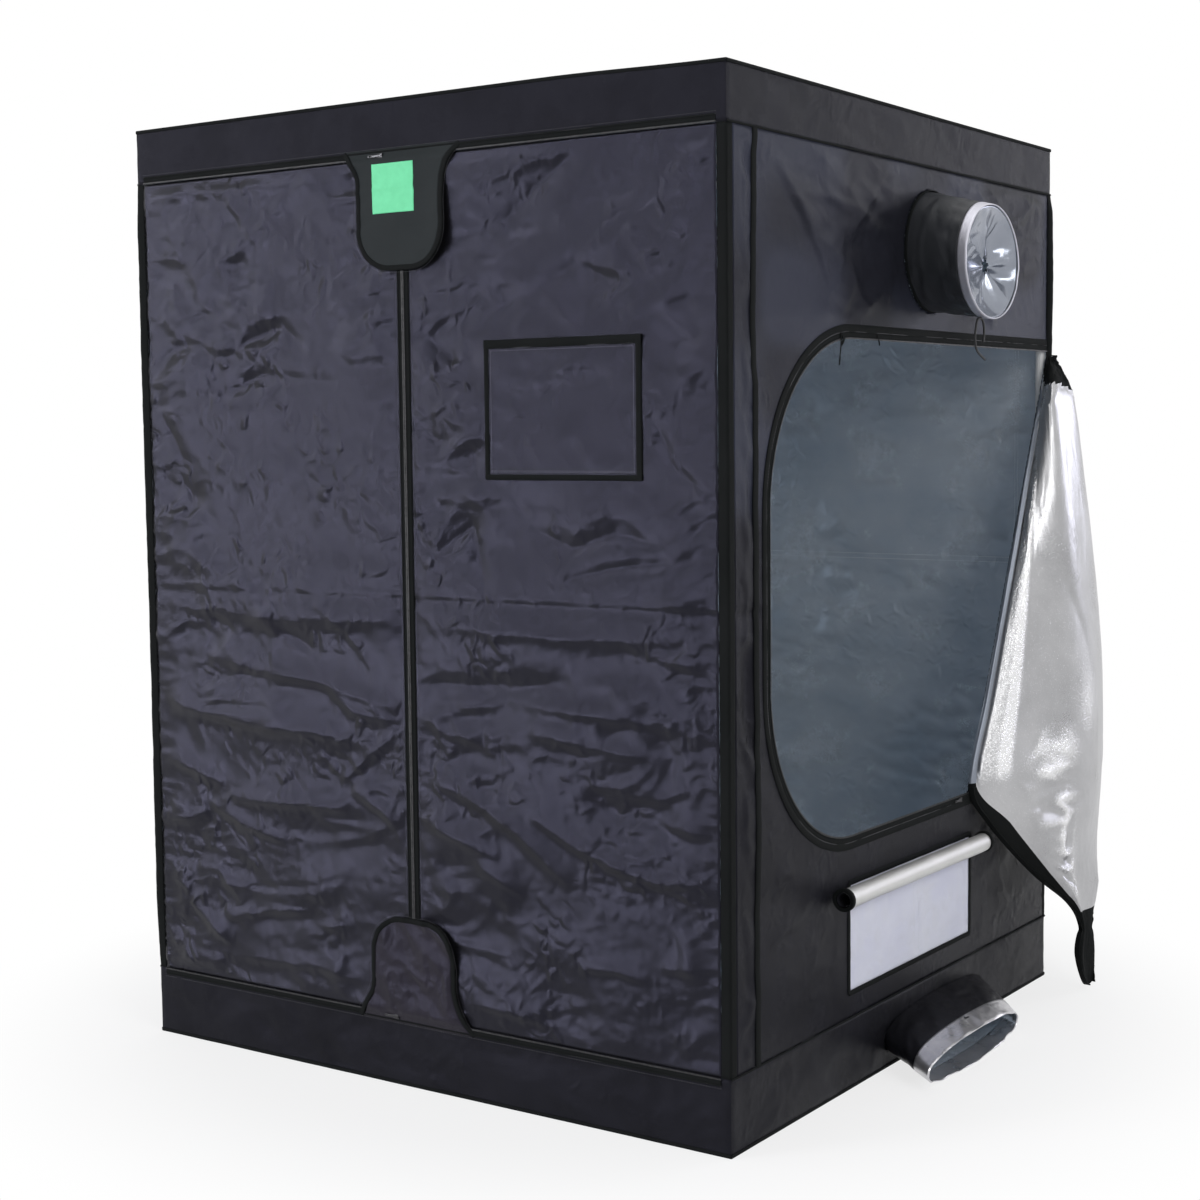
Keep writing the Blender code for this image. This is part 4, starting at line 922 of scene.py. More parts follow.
roof = flat_cloth("roof_cloth", "roof_panel", 0.012, roof_place, materials=[roof_finish, lining])
ground = flat_cloth("ground_sheet", "floor_panel", 0.025, ground_place, thickness=0.0008)
print("roof and ground:", len(roof.data.polygons), "and", len(ground.data.polygons), "squares")

# %% [markdown]
# The splash tray lies loose on the ground inside. Its rim is the outer ring
# of the same grid, pulled up: the rows next to the edge share one place and
# differ only in height.

# %% The splash tray
TRAY_HALF, TRAY_LOW, TRAY_HIGH = 0.7176, 0.0029, 0.0312
rim_heights = np.array([TRAY_HIGH, 0.022, 0.012, TRAY_LOW])
inner_lines = np.linspace(-TRAY_HALF + 0.02, TRAY_HALF - 0.02, 60)
tray_lines = np.concatenate([[-TRAY_HALF] * 4, inner_lines, [TRAY_HALF] * 4])
tray_rises = np.concatenate([rim_heights, np.full(60, TRAY_LOW), rim_heights[::-1]])
x, y = np.meshgrid(tray_lines, tray_lines)
rise = np.maximum(*np.meshgrid(tray_rises, tray_rises))
lean = 1 + 0.0004 * swell(x * 3 + y * 2, rise, 0.1, 151) / TRAY_HALF
rise = rise + 0.0012 * np.maximum(crumple(x, y, 0.12, 149), 0) * (rise < 0.01)
tray_points = np.stack([x * lean - 0.0003 * np.sign(x), y * lean - 0.0003 * np.sign(y), rise], -1)
tray = grid_piece("splash_tray", tray_points, [lining, outer_cloth], 0.0010)
dress(tray, "tent", "silver_lining", "floor_tray")
print("tray spans", round(2 * TRAY_HALF, 3), "m")

# %% [markdown]
# Tapes cover the corners and the seams. A tape is a thin closed section
# dragged along the seam, with small puckers where the needle pulls it.

# %% Flat tape section
def tape_section(width, thick, rounding=0.35):
    """Outline of a flat tape: x across it from its middle, y out from the cloth."""
    r = thick * rounding
    return [(-width / 2, 0), (-width / 2, thick - r), (-width / 2 + r, thick), (0, thick * 1.04),
            (width / 2 - r, thick), (width / 2, thick - r), (width / 2, 0)]


def length_of(line):
    return np.hypot(*np.diff(line, axis=0).T).sum()


def evenly(line, count):
    """The points of a flat line, set at even distances."""
    marks = np.concatenate([[0], np.cumsum(np.hypot(*np.diff(line, axis=0).T))])
    at = np.linspace(0, marks[-1], count)
    return np.stack([np.interp(at, marks, line[:, 0]), np.interp(at, marks, line[:, 1])], -1)


def pucker(length, count, seed, deep=0.0004):
    share = np.linspace(0, length, count)
    return deep * (swell(share, share * 0, 0.022, seed) + 0.6 * swell(share, share * 0, 0.06, seed + 1))


def wall_tape(side, line, width, thick, lift, seed, step=0.012, deep=0.0004, under=None):
    """Corners and faces of a tape that follows a line of points on one side."""
    line = np.asarray(line, float)
    total = length_of(line)
    count = max(3, round(total / step))
    u, v = evenly(line, count).T
    du, dv = np.gradient(u), np.gradient(v)
    size = np.hypot(du, dv)
    along_wall, outward = (np.array(vector) for vector in SIDES[side])
    sides = (dv / size)[:, None] * along_wall - (du / size)[:, None] * np.array((0, 0, 1))
    rise = lift + pucker(total, count, seed, deep) + (under(u, v) if under else 0)
    path = crowned(on_side(side, u, v, rise))
    return sweep(path, sides, np.tile(outward, (count, 1)), tape_section(width, thick))


def tape_piece(name, body, parts, *nodes):
    """Tapes of black binding as one piece."""
    made = face_outwards(make_piece(name, *joined(parts), [binding], sharp=50))
    return dress(made, body, "binding_tape", *nodes)


print("a tape's section has", len(tape_section(0.01, 0.001)), "corners")


# %% Corner tapes
STRIP_HALF = 0.0203


def corner_place(p, z, middle, bulge):
    """A corner strip, slack where the poles don't press it out."""
    belly = np.clip(1 - ((p - middle) / STRIP_HALF) ** 2, 0, 1) * np.interp(z, *bulge)
    loose = 0.0003 + 0.0006 * crumple(p, z, 0.04, 163) + 0.0008 * swell(p, z, 0.25, 167)
    return round_tent(p, z, loose + belly)


BULGES = {
    "rear_right": ([1.30, 1.50, 1.70, 1.85, 1.89], [0, 0.008, 0.009, 0.006, 0]),
    "front_left": ([0.15, 0.30, 1.00, 1.80, 1.89], [0, 0.004, 0.003, 0.004, 0]),
}
for index, node in enumerate(("rear_right", "rear_left", "front_left", "front_right")):
    middle = HALF + index * 2 * HALF
    p, z = np.meshgrid(
        np.linspace(middle - STRIP_HALF, middle + STRIP_HALF, 13), np.linspace(WALL_LOW, WALL_HIGH, 190)
    )
    bulge = BULGES.get(node, ([0, 2], [0, 0]))
    strip = cloth(
        "corner_strip_" + node, p, z, 0.009, lambda p, z: corner_place(p, z, middle, bulge),
        materials=[binding, lining],
    )
    dress(strip, "tent", "binding_tape", "corner_tape_" + node)
print("corner strips are on")

# %% Seam tapes on the walls
def straight(v, low=-0.728, high=0.728):
    """A line across a wall."""
    return [(low, v), (high, v)]


def upright(u, short=0.0):
    """A line up a wall, shortened at both ends."""
    return [(u, WALL_LOW + short), (u, WALL_HIGH - short)]


TAPE_END = 0.7485
SEAM_TAPES = [(1.8915, 0.004, 0.0013, 0.0002), (0.1490, 0.004, 0.0013, 0.0002)]
EDGE_TAPES = [(1.9955, 0.006, 0.0012, 0.0), (0.0050, 0.006, 0.0012, 0.0)]
for side in ORDER:
    name, rows, seed = "seam_tapes_", SEAM_TAPES + EDGE_TAPES, 11
    if side == "front":
        name, rows, seed = "edge_tapes_", EDGE_TAPES, 15
    parts = [
        wall_tape(side, straight(z, -TAPE_END, TAPE_END), *sizes, seed + index)
        for index, (z, *sizes) in enumerate(rows)
    ]
    tape_piece(name + side, "tent", parts)
wrap = wall_tape("right", upright(-0.652), 0.018, 0.0013, 0.0006, 19, under=right_height)
tape_piece("front_wrap_tape", "tent", [wrap])
print("seam tapes run on", len(ORDER), "sides")

# %% [markdown]
# The front closes with one long zip between the leaves and a zip along the
# top and the base. Each has its woven tapes and its coil. The coil's teeth
# repeat, so Geometry Nodes sets them along a line; the same tree sews the
# stitches, with a rounder shape and a wider spacing.

# %% The sewn row tree
def new_tree(name, **sockets):
    """A geometry tree and its inputs: Geometry, Material and the named ones."""
    tree = bpy.data.node_groups.new(name, "GeometryNodeTree")
    for label, kind in {"Geometry": "Geometry", **sockets, "Material": "Material"}.items():
        tree.interface.new_socket(label, in_out="INPUT", socket_type="NodeSocket" + kind)
    tree.interface.new_socket("Geometry", in_out="OUTPUT", socket_type="NodeSocketGeometry")
    return tree, tree.nodes.new("NodeGroupInput").outputs


def flow(tree, kind, inputs=None, output=0, **settings):
    """One output of a new node."""
    return add_node(tree, kind, inputs, **settings).outputs[output]


row_tree, given = new_tree("sewn row", Spacing="Float", Size="Vector", Round="Bool", Seed="Int")
line = flow(row_tree, "GeometryNodeMeshToCurve", {0: given["Geometry"]})
line = flow(row_tree, "GeometryNodeResampleCurve", {"Curve": line, "Length": given["Spacing"]}, mode="LENGTH")
tangent = flow(row_tree, "GeometryNodeInputTangent")
away = flow(row_tree, "GeometryNodeInputNamedAttribute", {"Name": "out"}, data_type="FLOAT_VECTOR")
turn = flow(row_tree, "FunctionNodeAlignRotationToVector", {"Vector": tangent}, axis="X")
turning = {"Rotation": turn, "Vector": away}
turn = flow(row_tree, "FunctionNodeAlignRotationToVector", turning, axis="Z", pivot_axis="X")
block = flow(row_tree, "GeometryNodeMeshCube", {"Size": given["Size"]})
bead = flow(row_tree, "GeometryNodeMeshUVSphere", {"Segments": 6, "Rings": 4, "Radius": 0.5})
bead = flow(row_tree, "GeometryNodeTransform", {"Geometry": bead, "Scale": given["Size"]})
shape = flow(row_tree, "GeometryNodeSwitch", {0: given["Round"], 1: block, 2: bead}, input_type="GEOMETRY")
varying = {2: 0.88, 3: 1.12, "Seed": given["Seed"]}
vary = flow(row_tree, "FunctionNodeRandomValue", varying, output=1, data_type="FLOAT")
placing = {"Points": line, "Instance": shape, "Rotation": turn, "Scale": vary}
rows = flow(row_tree, "GeometryNodeInstanceOnPoints", placing)
rows = flow(row_tree, "GeometryNodeRealizeInstances", {"Geometry": rows})
rows = flow(row_tree, "GeometryNodeSetMaterial", {"Geometry": rows, "Material": given["Material"]})
row_tree.links.new(rows, row_tree.nodes.new("NodeGroupOutput").inputs[0])
print("sewn row tree has", len(row_tree.nodes), "nodes")


# %% Run a tree
def run_tree(name, source, tree, values):
    """Evaluate a tree on a source object once and keep only its plain mesh."""
    modifier = source.modifiers.new("tree", "NODES")
    modifier.node_group = tree
    sockets = {item.name: item.identifier for item in tree.interface.items_tree if item.in_out == "INPUT"}
    for label, value in values.items():
        modifier[sockets[label]] = value
    ready = source.evaluated_get(bpy.context.evaluated_depsgraph_get())
    mesh = bpy.data.meshes.new_from_object(ready)
    mesh.name = name
    bpy.data.objects.remove(source)
    return add_object(name, mesh)


def line_source(name, verts, edges):
    """Bare edges, for a tree to work on."""
    mesh = bpy.data.meshes.new(name)
    mesh.from_pydata(verts, edges, [])
    return add_object(name, mesh)


def sewn_row(name, lines, spacing, size, material, body, slot="binding_tape", round_shape=True):
    """Stitches or teeth along lines, each a list of points and one outward direction."""
    verts, edges, outs = [], [], []
    for points, out in lines:
        start = len(verts)
        verts += [tuple(point) for point in points]
        edges += [(start + i, start + i + 1) for i in range(len(points) - 1)]
        outs += [out] * len(points) if np.ndim(out) == 1 else [tuple(o) for o in out]
    source = line_source(name + "_lines", verts, edges)
    source.data.attributes.new("out", "FLOAT_VECTOR", "POINT").data.foreach_set("vector", np.ravel(outs))
    values = {"Spacing": spacing, "Size": size, "Round": round_shape, "Seed": 1, "Material": material}
    return dress(run_tree(name, source, row_tree, values), body, slot)


def wall_line(side, line, lift):
    line = np.asarray(line, float)
    points = on_side(side, line[:, 0], line[:, 1], np.full(len(line), lift))
    return [tuple(point) for point in points], tuple(SIDES[side][1])


# %% The centre zip
ZIP_TAPE, ZIP_THICK = 0.015, 0.0010
ZIP_COIL = (0.0016, 0.0030, 0.0020)
for hand, sign in (("left", -1), ("right", 1)):
    leaf = hand + "_leaf"
    tape, rib = (
        wall_tape("front", upright(sign * u), width, thick, lift, 23 + sign, deep=0.0002)
        for u, width, thick, lift in ((0.0078, ZIP_TAPE, ZIP_THICK, 0.0004), (0.0125, 0.0026, 0.0008, 0.0014))
    )
    tape_piece("centre_zip_tape_" + hand, leaf, [tape, rib], "front_zip_tape_" + hand)
    teeth = [wall_line("front", upright(sign * 0.0020, 0.003), 0.0022)]
    sewn_row("centre_zip_teeth_" + hand, teeth, 0.0026, ZIP_COIL, zip_coil, leaf, "zip_metal", False)
    seam = [wall_line("front", upright(sign * 0.0190, 0.01), 0.0006)]
    sewn_row("centre_zip_stitches_" + hand, seam, 0.0055, (0.0034, 0.0008, 0.0008), thread_black, leaf)
print("the zip's tapes are", ZIP_TAPE, "m wide")

# %% The cross zips
for node, tape_z, rib_z, teeth_z in (
    ("front_top_zip", 1.8985, 1.9037, 1.8918), ("front_base_zip", 0.1415, 0.1363, 0.1482),
):
    tape = wall_tape("front", straight(tape_z), ZIP_TAPE, ZIP_THICK, 0.0004, 31, deep=0.0002)
    rib = wall_tape("front", straight(rib_z), 0.0028, 0.0008, 0.0014, 31, deep=0.0002)
    tape_piece(node + "_tape", "tent", [tape, rib], node)
    teeth = [wall_line("front", straight(teeth_z), 0.0020)]
    sewn_row(node + "_teeth", teeth, 0.0026, ZIP_COIL, zip_coil, "tent", "zip_metal", False)
pale_seams = [wall_line("front", straight(z), 0.0018) for z in (1.9045, 1.9095, 0.1355, 0.1305)]
sewn_row("front_seam_stitches", pale_seams, 0.0060, (0.0040, 0.0009, 0.0007), thread_black, "tent")
print(len(pale_seams), "rows of stitches beside the cross zips")

# %% [markdown]
# A slider is cast metal: a shield-shaped body, a bridge and a flat pull with
# a hole. Each part is a flat outline made into a plate by a curve's extrude
# and bevel, which is quick and gives clean rounded edges.

# %% Slider plates
def plate(outlines, thickness, bevel):
    """Mesh data of a bevelled plate from flat outlines, the later ones being holes."""
    curve = bpy.data.curves.new("plate", "CURVE")
    curve.dimensions = "2D"
    curve.fill_mode = "BOTH"
    curve.extrude = thickness / 2 - bevel
    curve.bevel_depth = bevel
    curve.bevel_resolution = 1
    curve.offset = -bevel
    for outline in outlines:
        edge = curve.splines.new("POLY")
        edge.points.add(len(outline) - 1)
        for point, (x, y) in zip(edge.points, outline):
            point.co = (x, y, 0, 1)
        edge.use_cyclic_u = True
    holder = add_object("plate", curve)
    mesh = bpy.data.meshes.new_from_object(holder.evaluated_get(bpy.context.evaluated_depsgraph_get()))
    bpy.data.objects.remove(holder)
    verts = np.array([tuple(v.co) for v in mesh.vertices])
    faces = [tuple(p.vertices) for p in mesh.polygons]
    bpy.data.meshes.remove(mesh)
    return verts, faces


def oval(x0, y0, rx, ry, count=14):
    turns = [math.tau * i / count for i in range(count)]
    return [(x0 + rx * math.cos(turn), y0 + ry * math.sin(turn)) for turn in turns]


body_plate = plate([[
    (-0.0050, 0.0080), (-0.0036, 0.0080), (0, 0.0058), (0.0036, 0.0080), (0.0050, 0.0080),
    (0.0050, 0.0020), (0.0034, -0.0080), (-0.0034, -0.0080), (-0.0050, 0.0020),
]], 0.0028, 0.0005)
pull_plate = plate([[
    (-0.0014, 0.0010), (0.0014, 0.0010), (0.0025, -0.008), (0.0025, -0.0270),
    (0.0016, -0.0298), (-0.0016, -0.0298), (-0.0025, -0.0270), (-0.0025, -0.008),
], oval(0, -0.0250, 0.0013, 0.0024)], 0.0012, 0.0003)
bridge_points, bridge_faces = plate([[
    (-0.0052, 0.0), (-0.0040, 0.0026), (0.0030, 0.0026), (0.0046, 0.0),
    (0.0030, 0.0), (0.0024, 0.0014), (-0.0034, 0.0014), (-0.0040, 0.0),
]], 0.0024, 0.0003)
bridge_plate = bridge_points[:, [2, 0, 1]] * np.array((1, 1, 0.55)), bridge_faces


def slider(key, node, place, side, drop):
    """A slider at a place on a side; drop is the way that its pull hangs."""
    outward = SIDES[side][1]
    up = -Vector(drop)
    turn = np.array(Matrix((up.cross(outward), up, outward)).transposed())
    parts = [
        ((corners + np.array((0, 0, lift))) @ turn.T + place, plate_faces)
        for (corners, plate_faces), lift in ((body_plate, 0.0014), (bridge_plate, 0.0022), (pull_plate, 0.0030))
    ]
    made = face_outwards(make_piece(key + "_piece", *joined(parts), [lacquer], sharp=35), 1e-6)
    return dress(made, key, "zip_metal", node)


slider("centre_slider", "front_zip_slider", (0.0056, -0.7536, 1.845), "front", (0, 0, -1))
slider("top_slider", "top_zip_slider", (-0.050, -0.7536, 1.8953), "front", (-1, 0, 0))
slider("base_slider", "base_zip_slider", (-0.050, -0.7536, 0.1447), "front", (-1, 0, 0))
slider("side_slider", "side_door_slider", (0.7518, 0.245, 0.5157), "right", (0, -1, 0))
print("four sliders")

# %% [markdown]
# Over the crossing of the zips hangs a bound cover at the top, with a patch,
# and one at the base that stands up. Both are flat cloth with a curved
# outline, lifted off the wall by the sliders under them. The outline gives
# the half width at each depth, and the grid is stretched to fill it.

# %% Zip covers
COVERS = {
    "top_zip_cover": (1.909, -1, (0.145, 0.103, 0.232, 0.060, 0.075)),
    "base_zip_cover": (0.131, 1, (0.146, 0.100, 0.215, 0.090, 0.070)),
}


def cover_edge(sizes):
    """Half widths and depths of a cover from its seam to its rounded end."""
    half, tongue, length, shoulder, radius = sizes
    shares = [along([(0, 0), (0.45, 0.30), (0.80, 0.62), (1, 1)], i / 8) for i in range(9)]
    edge = [(half + (tongue - half) * inward, shoulder * down) for inward, down in shares]
    edge += [(tongue, shoulder + (length - radius - shoulder) * share) for share in np.linspace(0, 1, 9)[1:]]
    for angle in np.linspace(0, math.pi / 2, 14)[1:]:
        edge.append((tongue - radius * (1 - math.cos(angle)), length - radius * (1 - math.sin(angle))))
    return np.array(edge)


def cover_lift(name, x, depth):
    """How far a cover stands off the wall at a place, over the sliders and in its folds."""
    if name == "top_zip_cover":
        fold = 0.0022 * swell(x * 0.8, depth, 0.07, 173) + 0.0011 * crumple(x * 0.5, depth, 0.05, 179)
        curl = 0.0030 * fade(x, 0.06, 0.105) * fade(depth, 0.05, 0.10)
    else:
        fold = 0.0034 * crumple(x + depth * 0.6, depth * 0.6, 0.070, 181)
        fold = fold + 0.0014 * crumple(x, depth * 0.7, 0.03, 191)
        curl = 0.0016 * fade(x, 0.06, 0.10)
    return 0.0003 + fade(depth, 0.0, 0.030) * (0.0085 + fold + curl)


def cover_points(name, x, depth, lift=0.0):
    seam, way, _ = COVERS[name]
    return np.stack([x, -HALF - cover_lift(name, x, depth) - lift, seam + way * depth], -1)


for name, body in (("top_zip_cover", "top_cover"), ("base_zip_cover", "base_cover")):
    seam, way, sizes = COVERS[name]
    front = cover_cloth if way < 0 else base_cover_cloth
    half, depth = evenly(cover_edge(sizes), 60).T
    x, down = half[:, None] * np.linspace(-1, 1, 45)[None], np.repeat(depth[:, None], 45, 1)
    if way < 0:
        x, down = x[::-1], down[::-1]
    made = grid_piece(name + "_cloth", cover_points(name, x, down), [front, lining], CLOTH)
    dress(made, body, "oxford_cloth", name)
    one_side, other_side = np.stack([half, depth], -1), np.stack([-half, depth], -1)[::-1]
    rim = evenly(np.concatenate([one_side, [(0.02, depth[-1]), (-0.02, depth[-1])], other_side]), 150)
    step = np.gradient(rim, axis=0)
    step /= np.linalg.norm(step, axis=1)[:, None]
    inwards = np.stack([step[:, 1], -step[:, 0]], -1)
    path = cover_points(name, *(rim + 0.0045 * inwards).T, -0.0016)
    sides = np.stack([step[:, 1], np.zeros(len(step)), -way * step[:, 0]], -1)
    trim = sweep(path, sides, np.tile((0, -1, 0), (len(step), 1)), tape_section(0.011, 0.0028, 0.45))
    tape_piece(name + "_binding", body, [trim])
    inner = (rim + 0.0135 * inwards)[4:-4]
    line = [(cover_points(name, *inner.T, 0.0003), (0, -1, 0))]
    sewn_row(name + "_stitches", line, 0.0055, (0.0036, 0.0008, 0.0007), thread_black, body)
print("covers:", ", ".join(COVERS))

# %% The green patch
x, drop = np.meshgrid(np.linspace(-0.0685, 0.0385, 36), np.linspace(0.128, 0.030, 34))
ragged = 0.0006 * swell(x * 3, drop * 3, 0.03, 193)
patch = cover_points("top_zip_cover", x + ragged * (np.abs(x + 0.015) > 0.051), drop, 0.0006)
green = grid_piece("green_patch_cloth", patch, [green_patch, green_patch], 0.0005, inside=0)
dress(green, "top_cover", "green_label", "green_label")
print("patch is", round(float(np.ptp(x)), 3), "by", round(float(np.ptp(drop)), 3), "m")

# %% [markdown]
# The small window has a clear film behind the leaf and a bound cloth cover
# in front of it, sewn on along its top edge.

# %% Window
def window_height(u, v):
    inner = fade(-front_window(u, v), 0.010, 0.035)
    folds = [
        (-4.5, 18, 235, 1345, 330, 1385, 440, 1435, 500, 1445),
        (3, 6, 370, 1455, 420, 1470, 460, 1465),
        (-2, 10, 240, 1470, 310, 1460),
    ]
    wave = folded(u, v, folds) + 0.0012 * swell(u, v, 0.10, 197) + 0.0012 * crumple(u * 0.8, v, 0.06, 199)
    return 0.0020 + np.maximum(wave * inner, -0.0010)


window_cover = panel(
    "window_cover_cloth", "front", (0.2035, 0.5655), (1.2535, 1.5205), 0.006, window_height,
    materials=[front_cloth, lining], thickness=0.0010,
)
dress(window_cover, "window_flap", "oxford_cloth", "window_cover")
BINDINGS = [
    ([(0.202, 1.5135), (0.567, 1.5135)], 0.0175), ([(0.202, 1.2575), (0.567, 1.2575)], 0.011),
    ([(0.2075, 1.252), (0.2075, 1.522)], 0.011), ([(0.5605, 1.252), (0.5605, 1.522)], 0.013),
]
parts = [
    wall_tape("front", line, width, 0.0033, 0.0001, 37 + index, 0.008, 0.0005)
    for index, (line, width) in enumerate(BINDINGS)
]
tape_piece("window_cover_binding", "window_flap", parts)
stitched = [wall_line("front", line, 0.0030) for line in (
    [(0.2185, 1.270), (0.5500, 1.270), (0.5500, 1.5010), (0.2185, 1.5010), (0.2185, 1.270)],
    [(0.2185, 1.2675), (0.5500, 1.2675)], [(0.2160, 1.5060), (0.5520, 1.5060)],
)]
sewn_row("window_cover_stitches", stitched, 0.0060, (0.0036, 0.0008, 0.0006), thread_grey, "window_flap")


def pane_height(u, v):
    return -0.0022 + 0.0004 * swell(u, v, 0.08, 211)


pane = panel(
    "window_film_sheet", "front", (0.2205, 0.5485), (1.2705, 1.5035), 0.012, pane_height,
    materials=[window_film, window_film], thickness=0.0005,
)
dress(pane, "right_leaf", "window_film", "window_pane")
print("window is dressed")

# %% [markdown]
# The side doorway is edged by a D-shaped zip: a wide sewn tape, a narrower
# zip tape inside it, and the coil that the open door has left behind.

# %% The doorway's zip
def door_path(grow, step=0.012):
    """Points of the doorway's outline, grown outwards, and the way out at each."""
    middle, reach = DOOR_FRONT + DOOR_RADIUS, DOOR_RADIUS + grow

    def arc(start, z):
        turns = np.radians(np.arange(start, start + 90, 2.2))
        return [((middle + reach * c, z + reach * s), (c, s)) for c, s in zip(np.cos(turns), np.sin(turns))]

    upper, lower = DOOR_HIGH - DOOR_RADIUS, DOOR_LOW + DOOR_RADIUS
    points = [((y, DOOR_HIGH + grow), (0, 1)) for y in np.arange(WALL_END, middle, -step)] + arc(90, upper)
    points += [((DOOR_FRONT - grow, z), (-1, 0)) for z in np.arange(upper, lower, -step)] + arc(180, lower)
    points += [((y, DOOR_LOW - grow), (0, -1)) for y in np.arange(middle, WALL_END, step)]
    return np.array([p for p, _ in points]), np.array([n for _, n in points])


def door_strip(grow, width, thick, lift, seed):
    line, normal = door_path(grow)
    path = on_side("right", *line.T, lift + pucker(length_of(line), len(line), seed))
    sides = np.stack([np.zeros(len(line)), normal[:, 0], normal[:, 1]], -1)
    return sweep(path, sides, np.tile((1, 0, 0), (len(line), 1)), tape_section(width, thick))


parts = [door_strip(*sizes) for sizes in (
    (0.0205, 0.015, 0.0012, 0.0003, 43), (0.0070, 0.012, 0.0010, 0.0003, 47),
    (0.0035, 0.0026, 0.0009, 0.0012, 47),
)]
tape_piece("door_zip_tapes", "tent", parts, "side_door_zip_tape")
piping, teeth = ([wall_line("right", door_path(grow)[0], 0.0012)] for grow in (0.0138, 0.0004))
sewn_row("door_tape_piping", piping, 0.0055, (0.0050, 0.0016, 0.0011), thread_black, "tent")
sewn_row("door_zip_teeth", teeth, 0.0028, (0.0017, 0.0030, 0.0022), zip_coil, "tent", "zip_metal", False)
print("doorway outline has", len(teeth[0][0]), "points")

# %% [markdown]
# The folded side door is the largest loose sheet. It turns outwards at a
# diagonal fold, hangs down in a long narrow bell and curls round the rear
# corner. Its surface is given by a table of edge points that is read
# smoothly, as in the CAD model, with finer folds added on top.

# %% The door flap's surface
def flap_places(*rows):
    """Places from the shares that they take of the flap's reach, span and height."""
    reach, span, height = np.array(rows).T
    return np.stack([0.75 + 0.136 * reach, 0.288 + 0.700 * span, 1.509 * height], -1)


FLAP_TURN = flap_places(
    (0.045, 0.650, 1.000), (0.42, 0.579, 0.935), (0.66, 0.576, 0.800), (0.83, 0.603, 0.660),
    (0.96, 0.627, 0.520), (1.01, 0.628, 0.380), (1.01, 0.604, 0.300), (0.99, 0.571, 0.215),
    (0.97, 0.586, 0.140), (0.98, 0.580, 0.095), (1.02, 0.562, 0.052), (1.00, 0.585, 0.0),
)
FLAP_END = flap_places(
    (0.060, 0.656, 1.003), (0.30, 0.664, 0.930), (0.26, 0.780, 0.790), (0.24, 0.858, 0.655),
    (0.24, 0.892, 0.520), (0.30, 0.864, 0.380), (0.40, 0.790, 0.300), (0.62, 0.692, 0.215),
    (0.82, 0.653, 0.140), (0.90, 0.621, 0.098), (0.94, 0.600, 0.055), (0.98, 0.603, 0.002),
)
fold_low = np.array((0.7509, 0.288, 0.5253))
fold_high = np.array((0.7509, 0.7297, 1.509))
FLAP_START = np.concatenate([
    [fold_high + (fold_low - fold_high) * share for share in (0, 0.2, 0.4, 0.6, 0.8, 0.985)],
    flap_places(
        (0.16, 0.087, 0.293), (0.48, 0.304, 0.201), (0.78, 0.470, 0.142), (0.88, 0.535, 0.100),
        (0.90, 0.535, 0.055), (0.96, 0.570, 0.0),
    ),
])
FLAP_BEND = 0.62


def bezier(a, b, c, d, t):
    return a * (1 - t) ** 3 + b * 3 * t * (1 - t) ** 2 + c * 3 * t * t * (1 - t) + d * t ** 3


def flap_surface(u, v):
    """A place on the flap, u across it from its fold and v down it."""
    first, bend, last = (along(table, v) for table in (FLAP_START, FLAP_TURN, FLAP_END))
    tail = math.sqrt(max(0.0, 1 - ((v - 0.92) / 0.08) ** 2))
    first[1] -= 0.026 * tail
    bend[1] += 0.008 * tail
    last[1] += 0.008 * tail
    narrow = np.linalg.norm(FLAP_TURN[0] - FLAP_START[0])
    width = min(np.linalg.norm(bend - first) / narrow / 8, 1)
    if u <= FLAP_BEND:
        lift, pull = np.array((0.030 * width, 0, 0)), np.array((0, 0.14 * width, 0))
        point = bezier(first, first + lift, bend - pull, bend, u / FLAP_BEND)
    else:
        lift, pull = np.array((0.035 * width, 0, 0)), np.array((0, 0.07 * width, 0))
        point = bezier(bend, bend + pull, last + lift, last, (u - FLAP_BEND) / (1 - FLAP_BEND))
    ripple = 0.60 + 0.5 * math.sin(math.tau * (2.1 * u + 0.8 * v))
    ripple += 0.3 * math.sin(math.tau * (3.3 * u - 1.1 * v))
    point[0] += 0.010 * math.sin(math.pi * u) * width * ripple
    point[2] += 0.012 * v
    return point


def flap_relief(u, v):
    """Fine folds of the silver side: a rolled edge, a crinkled band, then smooth cloth."""
    inside = fade(np.minimum(u, 1 - u), 0.0, 0.02) * fade(np.minimum(v, 1 - v), 0.0, 0.01)
    upper = fade(v, 0.03, 0.10) * (1 - fade(v, 0.43, 0.47))
    roll = 0.0055 * np.exp(-((u - 0.036) / 0.022) ** 2) * upper
    gutter = -0.0055 * np.exp(-((u - 0.084) / 0.009) ** 2) * upper
    glitter = 0.0040 + 0.0016 * crumple(u * 0.5, v * 1.5, 0.020, 223)
    glitter = np.exp(-((u - 0.17) / 0.055) ** 2) * glitter * upper
    low = fade(v, 0.40, 0.46) * (1 - fade(v, 0.68, 0.75))
    crush = low * 0.0075 * crumple(u * 0.50, v * 1.5, 0.055, 227) * np.exp(-((u - 0.37) / 0.10) ** 2)
    crease = -0.001 * ridge(u, v, [(0.25, 0.24), (0.42, 0.26), (0.53, 0.33), (0.58, 0.38)], 4.0, 0.012)
    knot = 0.004 * crumple(u * 0.2, v * 1.5, 0.02, 231) * (1 - fade(v, 0.07, 0.10))
    soft_folds = 0.0022 * swell(u * 0.8, v * 1.2, 0.16, 229) + 0.0005 * crumple(u, v * 1.5, 0.05, 233)
    return inside * (roll + gutter + glitter + crush + crease + knot + soft_folds)


